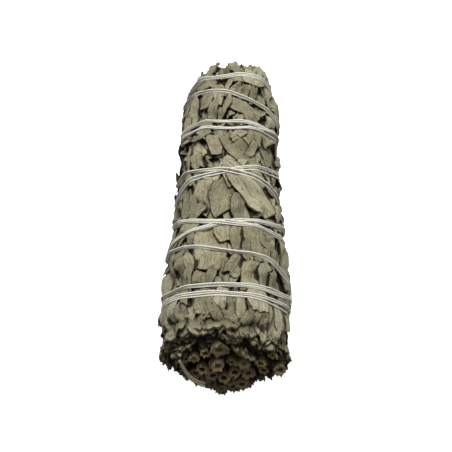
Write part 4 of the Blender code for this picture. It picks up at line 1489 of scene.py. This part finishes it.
def rolled_up(obj, points):
    """Puts the points of a tube in place and closes its seam and its ends."""
    obj.data.vertices.foreach_set("co", points.astype(np.float32).ravel())
    obj.data.update()
    bpy.ops.object.select_all(action="DESELECT")
    obj.select_set(True)
    bpy.context.view_layer.objects.active = obj
    bpy.ops.object.mode_set(mode="EDIT")
    bpy.ops.mesh.select_all(action="SELECT")
    bpy.ops.mesh.remove_doubles(threshold=WELD)
    bpy.ops.object.mode_set(mode="OBJECT")


heart, row, angles = tube(HEART_RINGS, HEART_SIDES, "inner_leaves_in_painted_shade")
share = row / (HEART_RINGS - 1)
stations = HEART_START + share * (HEART_END - HEART_START)
ends = np.clip(HEART_ROUNDING * np.minimum(share, 1.0 - share), 0.0, 1.0) ** 0.5
lumps = read_map(ground - map_envelope + GROUND_DEPTH, stations, angles)
under = envelope(stations, angles) - HEART_UNDER + np.minimum(lumps, HEART_LUMP)
rolled_up(heart, in_frame(stations, angles, under * ends))
bpy.ops.object.shade_smooth_by_angle(angle=HEART_SMOOTH_BELOW)
finished([heart], "inner_leaves_in_painted_shade", DARK, "sage_leaf", "heart_leaves")

# %% [markdown]
# At the cut end the leaves were sliced through with the stems. What shows is their edges: layer on layer of
# thin wavy lines, crumpled where the knife dragged them. Each is a short sheet that runs back into the
# bundle and dives under the leaves, wavy across. The sheets stand in rings from the rim to the stems, which
# lie most evenly on the left, and smaller ones fill the space between the stems.

# %% Leaf edges at the cut end
STEMS = 17
STEM_SPREAD = 2.0 * MM
GOLDEN_ANGLE = math.pi * (3.0 - math.sqrt(5.0))
SHEET_RINGS = (16.9, 16.3, 15.5, 14.7, 13.9, 13.1, 12.3, 11.5, 10.7, 9.9)
SHEET_SPACING = 6.5
SHEET_RUFFLE = 0.8
SHEET_DIVE = 2.4 * MM
SHEET_BACK = 8.0 * MM
SMALL_SHEETS = 46
EDGE_LIT = 0.35 * MM
LAYERED_ANGLE = -1.6
LAYERED_SPREAD = 0.7
SHEET_PITCH = (2.2, 5.0)
SHEET_WAVES = ((1.0, 1.0, 0), (0.5, 0.46, 1), (0.22, 0.23, 3))
SHEET_FLARE = (-0.4, 0.3)
SHEET_BOW = 0.4
SHEET_BOW_WAVE = 0.25 * MM
SHEET_RAGGED = 0.30 * MM
SHEET_UNDER = 0.4 * MM
SHEET_OFF_SPOT = 0.35
SHEET_OFF_RING = 0.3
SHEET_ROOM = 1.5 * MM
SHEET_WIDTHS = (5.0, 12.0)
SHEET_TILT = 0.14
LOW_FROM = 1.6
LOW_OVER = 0.8
OUTER_FROM = 14.8
OUTER_OVER = 2.4
SMALL_RADIUS = 10.5 * MM
SMALL_ROOM = 1.3 * MM
SMALL_WIDTHS = (1.4, 3.0)
SMALL_PROUD = (-5.0, -2.2)
SMALL_DARK = (0.45, 0.75)
SMALL_FADING = 1.4 * MM


def stem_centre(i):
    spread = STEM_SPREAD * math.sqrt(i + 0.3)
    return spread * math.sin(GOLDEN_ANGLE * i), spread * math.cos(GOLDEN_ANGLE * i)


STALKS = (
    (2.4, 13.4, 1.85, -0.4, 0.10),
    (-1.4, 11.6, 1.75, 0.9, 0.35),
    (9.6, 5.6, 1.35, 0.2, 0.10),
    (10.6, 1.6, 1.30, -0.1, 0.12),
    (12.6, 6.6, 1.20, -0.3, 0.12),
    (4.4, 9.7, 1.30, -0.6, 0.15),
    (-0.6, -9.7, 1.35, 0.5, 0.10),
    (-9.9, -2.2, 1.30, 0.3, 0.12),
    (-7.2, -6.6, 1.20, 0.2, 0.12),
    (7.4, -7.4, 1.20, 0.1, 0.12),
    (3.3, -9.2, 1.15, 0.4, 0.12),
    (-4.3, -9.4, 1.15, 0.2, 0.12),
    (9.9, -3.2, 1.25, 0.1, 0.12),
    (-8.0, 5.6, 1.25, -0.5, 0.15),
    (-5.0, 8.6, 1.10, -0.4, 0.15),
    (14.9, 3.0, 1.30, 2.2, 0.25),
)
stem_places = [stem_centre(i) for i in range(STEMS)] + [(x * MM, z * MM) for x, z, _, _, _ in STALKS]


def room_at(angle, radius):
    """Distance from a place of the cut face to the nearest stem's middle."""
    x, z = radius * math.sin(angle), radius * math.cos(angle)
    return min(math.hypot(x - other_x, z - other_z) for other_x, other_z in stem_places)


def edge_sheet(draw, angle, radius, width, tilt, proud, wave_size):
    """A cut leaf that runs back from the cut face: its points, and how far back each one is."""
    form = forms["sheet"][draw.integers(FORMS_OF_A_KIND)]
    x, y, up = form["points"].T
    aside = x / FORM_LENGTH * width
    share = y / FORM_WIDTH + 0.5
    phase = draw.uniform(0.0, 6.3, 4)
    size = draw.uniform(*wave_size) * MM
    pitch = draw.uniform(*SHEET_PITCH) * MM
    wave = 0.0
    for part, shorter, k in SHEET_WAVES:
        wave = wave + part * size * np.sin(2.0 * math.pi * aside / (shorter * pitch) + phase[k])
    wave *= 0.35 + 0.65 * share
    flare = draw.uniform(*SHEET_FLARE) * MM * smooth_step((share - 0.5) / 0.5)
    flare -= SHEET_DIVE * smooth_step((0.80 - share) / 0.80)
    bow = draw.uniform(-SHEET_BOW, SHEET_BOW) * MM * (2.0 * aside / width) ** 2
    bow += SHEET_BOW_WAVE * np.sin(9.0 * share + 900.0 * aside + phase[2])
    radii = np.maximum(radius + wave + tilt * aside + flare + bow + 0.5 * up, 0.1 * MM)
    angles = angle + aside / max(radius, 4.0 * MM)
    ragged = SHEET_RAGGED * np.sin(2.0 * math.pi * aside / (0.7 * pitch) + phase[2])
    cut = cut_face(angles, np.clip(radii, 0.0, BUTT_RADIUS))
    stations = cut - proud + (1.0 - share) * SHEET_BACK + ragged * share
    return form, stations, angles, radii, stations - cut


def make_sheet(sheet, tone, dark, fading):
    """The sheet as an object, kept inside the bundle, with painted shade that grows from its edge backwards.
    """
    form, stations, angles, radii, back = sheet
    over = squeezed(radii - envelope(stations, angles) + SHEET_UNDER)
    radii = envelope(stations, angles) + over - SHEET_UNDER
    points = in_frame(stations, angles, radii + SHEET_RUFFLE * ruffle(stations, angles, radii))
    points[:, 2] = np.maximum(points[:, 2], FLOOR_GAP)
    # Painted shade: the sheet darkens from its lit edge backwards into the bundle.
    painted_shade = np.clip(dark + np.maximum(back - EDGE_LIT, 0.0) / fading, 0.0, 1.0)
    return copy_of(form, points, painted_shade, tone)


draw = np.random.default_rng(404)
edges = []
for ring in SHEET_RINGS:
    count = round(2.0 * math.pi * ring / SHEET_SPACING)
    start = draw.uniform(0.0, 6.3)
    for i in range(count):
        angle = start + 2.0 * math.pi * (i + draw.uniform(-SHEET_OFF_SPOT, SHEET_OFF_SPOT)) / count
        turned = math.remainder(angle, 2.0 * math.pi)
        low = smooth_step((abs(turned) - LOW_FROM) / LOW_OVER)
        flatter = 1.0 - (1.0 - HEIGHT_SHARE) * abs(math.cos(angle))
        radius = (ring + draw.uniform(-SHEET_OFF_RING, SHEET_OFF_RING)) * MM * flatter
        if room_at(angle, radius) < SHEET_ROOM:
            continue
        left = math.exp(-(((turned - LAYERED_ANGLE) / LAYERED_SPREAD) ** 2))
        proud = draw.uniform(-0.9, 0.8) * MM * (1.0 - 0.6 * left) - 1.0 * MM * low
        width = draw.uniform(*SHEET_WIDTHS) * MM * (1.0 - 0.30 * low)
        tilt = draw.uniform(-SHEET_TILT, SHEET_TILT)
        sheet = edge_sheet(draw, angle, radius, width, tilt, proud, (0.08, 0.36))
        outer = smooth_step((ring - OUTER_FROM) / OUTER_OVER)
        # How much painted shade a sheet starts with: less on the outer rings and on the left, where the
        # layers catch the light.
        dark = (draw.uniform(0.12, 0.50) - 0.12 * low) * (1.0 - 0.6 * outer) * (1.0 - 0.7 * left)
        edges.append(make_sheet(sheet, draw.uniform(0.1, 0.9), dark, (0.7 + 6.0 * outer) * MM))
for i in range(SMALL_SHEETS):
    angle = draw.uniform(0.0, 2.0 * math.pi)
    radius = SMALL_RADIUS * math.sqrt(draw.uniform(0.02, 1.0))
    if room_at(angle, radius) > SMALL_ROOM:
        proud = draw.uniform(*SMALL_PROUD) * MM
        width, tilt = draw.uniform(*SMALL_WIDTHS) * MM, draw.uniform(-0.5, 0.5)
        sheet = edge_sheet(draw, angle, radius, width, tilt, proud, (0.1, 0.3))
        # How much painted shade a small sheet starts with.
        tone, dark = draw.uniform(0.0, 0.8), draw.uniform(*SMALL_DARK)
        edges.append(make_sheet(sheet, tone, dark, SMALL_FADING))
print("edge sheets:", len(edges))
finished(edges, "leaf_edges_at_the_cut_end", LEAF, "sage_leaf")

# %% [markdown]
# A sage stem is square with rounded corners and shallow furrows. Its cut end shows bark, a ring of wood and
# a pith that has shrunk to a hollow, and the knife leaves the rim ragged and a little flared. Each stem is
# a tube whose rows run up the bark, over the rim and down into the pith. The solids have seventeen. More
# stalks, most of them thinner, stand among the leaf edges round them, at places read from the photograph.

# %% Stems and stalks
STEM_SIDES = 26
STEM_BACK = 0.45 * FOLIAGE_LENGTH
PITH_DEPTH = 1.2
# Painted shade on the lower stems, stronger the lower they stand.
STEM_SHADE = 0.62
STEM_SHADE_FROM = 7.0 * MM
STEM_SHADE_OVER = 14.0 * MM
STEM_DRAWN_IN = 0.45
STEM_SQUARE = (0.04, 0.13)
STEM_RADII = (1.36, 1.62)
STEM_FLARING = (0.02, 0.28)
FLARE_REACH = 1.1 * MM
SLOPE_REACH = 3.5 * MM
TEETH = 0.27 * MM
TEETH_REACH = 0.5 * MM
CUT_BACK = 0.25 * MM
PITH_SHARE = 0.60
PITH_EDGE = 0.14
WALL_SHARE = 0.7
STEM_PROFILE = (
    (1.00, 40.0),
    (1.00, 28.0),
    (1.00, 18.0),
    (1.00, 12.0),
    (1.00, 8.0),
    (1.00, 5.5),
    (1.00, 3.8),
    (1.00, 2.6),
    (1.00, 1.7),
    (1.00, 1.0),
    (1.00, 0.55),
    (1.00, 0.22),
    (0.97, 0.0),
    (0.88, -0.08),
    (0.78, 0.04),
    (0.68, -0.03),
    (0.58, 0.10),
    (0.50, 0.35),
    (0.44, 0.70),
    (0.38, 1.10),
    (0.22, 1.30),
    (0.00, 1.35),
)


def drawn_in(back):
    """What is left of a stem's thickness and of its distance from the axis, behind its cut."""
    return 1.0 - STEM_DRAWN_IN * np.clip(back / STEM_BACK, 0.0, 1.0)


def stem_object(name, x0, z0, face, radius, flaring, draw):
    """A cut stem: its bark runs back into the bundle and leans in to the axis."""
    stem, row, around = tube(len(STEM_PROFILE), STEM_SIDES, name)
    share, back = np.array(STEM_PROFILE)[row].T
    back = back * MM * np.where(share < 0.6, PITH_DEPTH * draw.uniform(0.7, 1.3), 1.0)
    hollow = draw.uniform(0.25, 1.0)
    spin, square = draw.uniform(0.0, 6.3), draw.uniform(*STEM_SQUARE)
    slope = draw.uniform(-0.28, 0.28), draw.uniform(0.15, 0.65)
    furrows = 1.0 + square * np.cos(4.0 * (around - spin)) + 0.035 * np.cos(11.0 * around + spin)
    furrows += 0.03 * np.sin(7.0 * around + 2.0 * spin)
    lobe = 1.0 + 0.5 * np.sin(around + spin)
    flare = 1.0 + flaring * lobe * np.exp(-np.abs(back) / FLARE_REACH)
    teeth = np.sin(5.0 * around + spin) + 0.7 * np.sin(9.0 * around + 3.0 * spin)
    teeth = teeth + 0.5 * np.sin(12.0 * around)
    rim = np.exp(-np.abs(back) / TEETH_REACH) * smooth_step((share - 0.55) / 0.4)
    narrowing = drawn_in(back)
    reach = radius * share * narrowing * np.where(share > 0.6, furrows * flare, 1.0)
    dx, dz = reach * np.sin(around), reach * np.cos(around)
    cut_slope = (slope[0] * dx + slope[1] * dz) * np.exp(-np.maximum(back, 0.0) / SLOPE_REACH)
    stations = face + CUT_BACK + back + cut_slope + TEETH * teeth * rim
    x = x0 * narrowing + dx - MIDDLE_X
    z = np.maximum(axis_height(stations) + z0 * narrowing + dz, FLOOR_GAP)
    rolled_up(stem, np.stack([x, stations - MIDDLE_STATION, z], axis=-1))
    places = np.array([vertex.co for vertex in stem.data.vertices])
    behind = places[:, 1] + MIDDLE_STATION - face
    narrowing = drawn_in(behind)
    local_x = places[:, 0] + MIDDLE_X - x0 * narrowing
    local_z = places[:, 2] - axis_height(places[:, 1] + MIDDLE_STATION) - z0 * narrowing
    off_centre = np.hypot(local_x, local_z) / (radius * narrowing)
    cut = np.where(behind < 0.45 * MM, smooth_step((0.99 - off_centre) / 0.08), 0.0)
    # Painted shade for the stem: in its hollow pith, on the bark that runs back among the leaves, and more
    # on lower stems.
    pith = hollow * smooth_step((PITH_SHARE - off_centre) / PITH_EDGE)
    wall = np.where(off_centre > WALL_SHARE, np.clip((behind - 0.5 * MM) / (2.0 * MM), 0.0, 1.0), 0.0)
    write_attribute(stem.data, "cut", cut)
    shade = STEM_SHADE * smooth_step((STEM_SHADE_FROM - z0) / STEM_SHADE_OVER)
    write_attribute(stem.data, "painted_shade", np.clip(np.maximum(wall, pith) + shade, 0.0, 1.0))
    bpy.ops.object.shade_smooth_by_angle(angle=SMOOTH_BELOW)
    return stem


draw = np.random.default_rng(505)
for number in range(1, STEMS + 1):
    node = f"stem_{number:02d}"
    x0, z0 = stem_centre(number - 1)
    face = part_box(node)[0].y + MIDDLE_STATION + draw.uniform(-0.2, 0.6) * MM
    radius = draw.uniform(*STEM_RADII) * MM
    stem = stem_object(node + "_in_bark", x0, z0, face, radius, draw.uniform(*STEM_FLARING), draw)
    finished([stem], "cut_" + node, STEM, "sage_stem", node)
stalks = []
for number, (x, z, radius, proud, flaring) in enumerate(STALKS):
    angle, away = math.atan2(x, z), math.hypot(x, z) * MM
    face = float(cut_face(np.array(angle), np.array(away))) - proud * MM
    stalks.append(stem_object(f"stalk_{number}", x * MM, z * MM, face, radius * MM, flaring, draw))
finished(stalks, "stalks_at_the_cut_end", STEM, "sage_stem")
print("stems:", STEMS, "stalks:", len(stalks))

# %% [markdown]
# One leaf stalk was cut free and hangs across the cut end on the left. It is a thin grooved rod, pale and a
# little curled, so it is a line of rings along a curve that follows the cut face and stands just clear of
# it.

# %% The loose leaf stalk
CURL_FROM = (-11.8, 5.6)
CURL_TO = (-5.0, -0.6)
CURL_STEPS = 40
CURL_SIDES = 12
CURL_RADIUS = 0.62 * MM
CURL_CLEAR = 1.5 * MM
CURL_BULGE = (0.9 * MM, 0.7 * MM)
CURL_TONE = 0.45


def unit(vectors):
    """The vectors at length 1."""
    return vectors / np.linalg.norm(vectors, axis=1)[:, None]


def ring_section(row, around, out, side):
    """Where the points of a tube lie round their line, from two directions across it."""
    return np.cos(around)[:, None] * out[row] + np.sin(around)[:, None] * side[row]


share = np.linspace(0.0, 1.0, CURL_STEPS)
curl_x = mix(CURL_FROM[0], CURL_TO[0], share) * MM - CURL_BULGE[0] * np.sin(math.pi * share)
curl_z = mix(CURL_FROM[1], CURL_TO[1], share) * MM - CURL_BULGE[1] * np.sin(math.pi * share)
curl_angle, curl_away = np.arctan2(curl_x, curl_z), np.hypot(curl_x, curl_z)
curl_line = in_frame(cut_face(curl_angle, curl_away) - CURL_CLEAR, curl_angle, curl_away)
curl, row, around = tube(CURL_STEPS, CURL_SIDES, "curl")
ahead = unit(np.gradient(curl_line, axis=0))
outwards = unit(np.cross(ahead, (0.0, 1.0, 0.0)))
sideways = np.cross(ahead, outwards)
thick = CURL_RADIUS * (0.75 + 0.35 * share)[row] * (1.0 - 0.22 * np.exp(-((around - math.pi) / 0.5) ** 2))
thick = np.where((row == 0) | (row == CURL_STEPS - 1), 0.0, thick)
section = ring_section(row, around, outwards, sideways)
rolled_up(curl, curl_line[row] + thick[:, None] * section)
write_attribute(curl.data, "tone", np.full(len(curl.data.vertices), CURL_TONE))
write_attribute(curl.data, "painted_shade", np.zeros(len(curl.data.vertices)))
bpy.ops.object.shade_smooth()
finished([curl], "loose_leaf_stalk", LEAF, "sage_leaf")

# %% [markdown]
# The far end of the bundle is closed by leaf tips. They stand in rings inside the outer leaves and lean in
# a little towards the axis, whole leaves with their points outwards, folded and pleated ones between them.

# %% Leaves at the tip
TIP_UNDER = 2.4 * MM
TIP_KINDS = ("lance", "round", "strip", "lance", "torn")
TIP_LENGTHS = (14.0, 18.0)
TIP_WIDTHS = (4.5, 8.0)
TIP_ENDS = (0.965, 1.015)
TIP_LEAN = (0.3, 2.6)
TIP_CLEAR = 0.3 * MM
TIP_LIT = 0.97 * FOLIAGE_LENGTH
TIP_FADING = 6.0 * MM
TIP_RINGS = ((12.4, 13), (10.3, 11), (8.0, 9), (5.6, 7), (3.0, 4), (0.9, 2))


def tip_leaf(draw, ring, angle):
    """A leaf that stands in the end of the bundle with its point outwards."""
    kind = TIP_KINDS[draw.integers(len(TIP_KINDS))]
    form = forms[kind][draw.integers(FORMS_OF_A_KIND)]
    x, y, up = form["points"].T
    length = draw.uniform(*TIP_LENGTHS) * MM
    width = draw.uniform(*TIP_WIDTHS) * MM * (0.55 if kind == "strip" else 1.0)
    share = x / FORM_LENGTH + 0.5
    aside = y / FORM_WIDTH * width
    end = FOLIAGE_LENGTH * draw.uniform(*TIP_ENDS)
    stations = end - (1.0 - share) * length
    lean = draw.uniform(*TIP_LEAN) * MM * smooth_step((share - 0.45) / 0.55)
    radii = ring * MM + draw.uniform(-0.5, 0.5) * MM + up * 1.2 - lean + draw.uniform(-0.3, 0.3) * aside
    angles = angle + aside / max(ring * MM, 3.0 * MM)
    most = envelope(stations, angles) - mix(TIP_UNDER, TIP_CLEAR, smooth_step((share - 0.6) / 0.4))
    points = in_frame(stations, angles, np.clip(radii, 0.05 * MM, most))
    points[:, 2] = np.maximum(points[:, 2], FLOOR_GAP)
    # Painted shade: the tip leaves darken the further they lie back inside the end of the bundle.
    painted_shade = np.clip((TIP_LIT - stations) / TIP_FADING, 0.0, 1.0)
    return copy_of(form, points, painted_shade, draw.uniform(0.0, 1.0))


draw = np.random.default_rng(606)
tips = []
for ring, count in TIP_RINGS:
    for i in range(count):
        angle = 2.0 * math.pi * (i + draw.uniform(-0.3, 0.3)) / count + ring
        tips.append(tip_leaf(draw, ring, angle))
print("tip leaves:", len(tips))
finished(tips, "leaf_tips_at_the_far_end", LEAF, "sage_leaf")

# %% [markdown]
# A strand of the binding thread is two plies twisted together, which shows as short slanting marks all
# along it. It is a long tube whose section has two lobes and turns as it goes. Every point of it is built
# from the strand's taut way, on the floor where the way would sink into it.

# %% Thread
STRAND_STEP = 0.26 * MM
STRAND_SIDES = 8
TWIST_PITCH = 1.3 * MM
LOBE_LOW = 0.72
LOBE_HIGH = 0.42
THREAD_HEIGHT = AXIS_AT_BUTT - 0.5 * AXIS_DROP


def resampled(points, step):
    """Points at even steps along a line, and their distances along it."""
    lengths = np.concatenate([[0.0], np.cumsum(np.linalg.norm(np.diff(points, axis=0), axis=1))])
    places = np.linspace(0.0, lengths[-1], int(lengths[-1] / step) + 1)
    return np.stack([np.interp(places, lengths, points[:, k]) for k in range(3)], axis=-1), places


def strand_tube(points, radius, name, phase=0.0):
    """A twisted strand along points."""
    points, places = resampled(points, STRAND_STEP)
    along = unit(np.gradient(points, axis=0))
    out = points - np.array([-MIDDLE_X, 0.0, THREAD_HEIGHT])
    out = unit(out - (out * along).sum(axis=1)[:, None] * along)
    side = np.cross(along, out)
    obj, row, around = tube(len(points), STRAND_SIDES, name)
    twist = 2.0 * math.pi * places[row] / TWIST_PITCH + phase
    lobes = LOBE_LOW + LOBE_HIGH * np.abs(np.cos(around - twist))
    closed = np.where((row == 0) | (row == len(points) - 1), 0.0, 1.0)
    size = radius * lobes * closed
    rolled_up(obj, points[row] + size[:, None] * ring_section(row, around, out, side))
    bpy.ops.object.shade_smooth()
    return obj, places[-1]


thread_length = 0.0
runs = []
for number, (stations, angles, radii) in enumerate(strands):
    line = in_frame(stations, angles, radii)
    line[:, 2] = np.maximum(line[:, 2], 1.1 * STRAND_RADIUS + FLOOR_GAP)
    strand, length = strand_tube(line, STRAND_RADIUS, f"strand_{number}", 1.3 * number)
    thread_length += length
    runs.append(strand)
for number, name in enumerate(("cotton_wound_up", "cotton_wound_down")):
    finished(runs[STRANDS * number:STRANDS * (number + 1)], name, THREAD, "cotton_thread", "thread")
print("strand length in all:", round(thread_length, 2), "m")

# %% [markdown]
# The two knots are small tight coils of the same strand, each with two cut tails that lie on the leaves.

# %% Knots
TAIL_LENGTH = 5.0 * MM
KNOT_SIZE = 0.62 * MM
KNOT_LOOPS = 3.0
KNOT_TIGHTER = 0.85
TAIL_HEADINGS = ((0.4, 1.1), (2.2, 2.9))
TAIL_CURL = 0.5
TAIL_OVER = 0.8


def knot_strands(station, angle, radius, draw):
    """A knot of three small loops, and its two tails."""
    t = np.linspace(0.0, 1.0, 80)
    turn = 2.0 * math.pi * KNOT_LOOPS * t
    rise = STRAND_RADIUS + KNOT_SIZE * (0.3 + 0.7 * np.sin(math.pi * t))
    stations = station + KNOT_SIZE * np.cos(turn) * (0.7 + 0.4 * np.sin(5.0 * turn / KNOT_LOOPS))
    angles = angle + KNOT_SIZE * np.sin(turn) / radius
    lines = [in_frame(stations, angles, radius + rise)]
    for headings in TAIL_HEADINGS:
        s = np.linspace(0.0, TAIL_LENGTH, 24)
        curl = draw.uniform(*headings) + TAIL_CURL * np.sin(3.0 * s / TAIL_LENGTH)
        stations = station + s * np.cos(curl)
        angles = angle + s * np.sin(curl) / radius
        over = read_map(np.maximum(strand_map, surface_map), stations, angles) + TAIL_OVER * STRAND_RADIUS
        over = np.maximum(over, radius + KNOT_SIZE - 3.0 * s / TAIL_LENGTH * KNOT_SIZE)
        lines.append(in_frame(stations, angles, over))
    return [strand_tube(line, KNOT_TIGHTER * STRAND_RADIUS, "knot_strand")[0] for line in lines]


draw = np.random.default_rng(707)
knot_angle = math.radians(KNOT_ANGLE)
knots = []
for knot_station in (BUTT_KNOT, TIP_KNOT):
    knot_radius = float(read_map(strand_map, np.array([knot_station]), np.array([knot_angle]))[0])
    knots += knot_strands(knot_station, knot_angle, knot_radius, draw)
finished(knots, "cotton_knots", THREAD, "cotton_thread", "thread")

# %% [markdown]
# The forms were only patterns to copy, so they are removed.

# %% Finish
for kind in KINDS:
    for form in forms[kind]:
        bpy.data.objects.remove(form["object"])
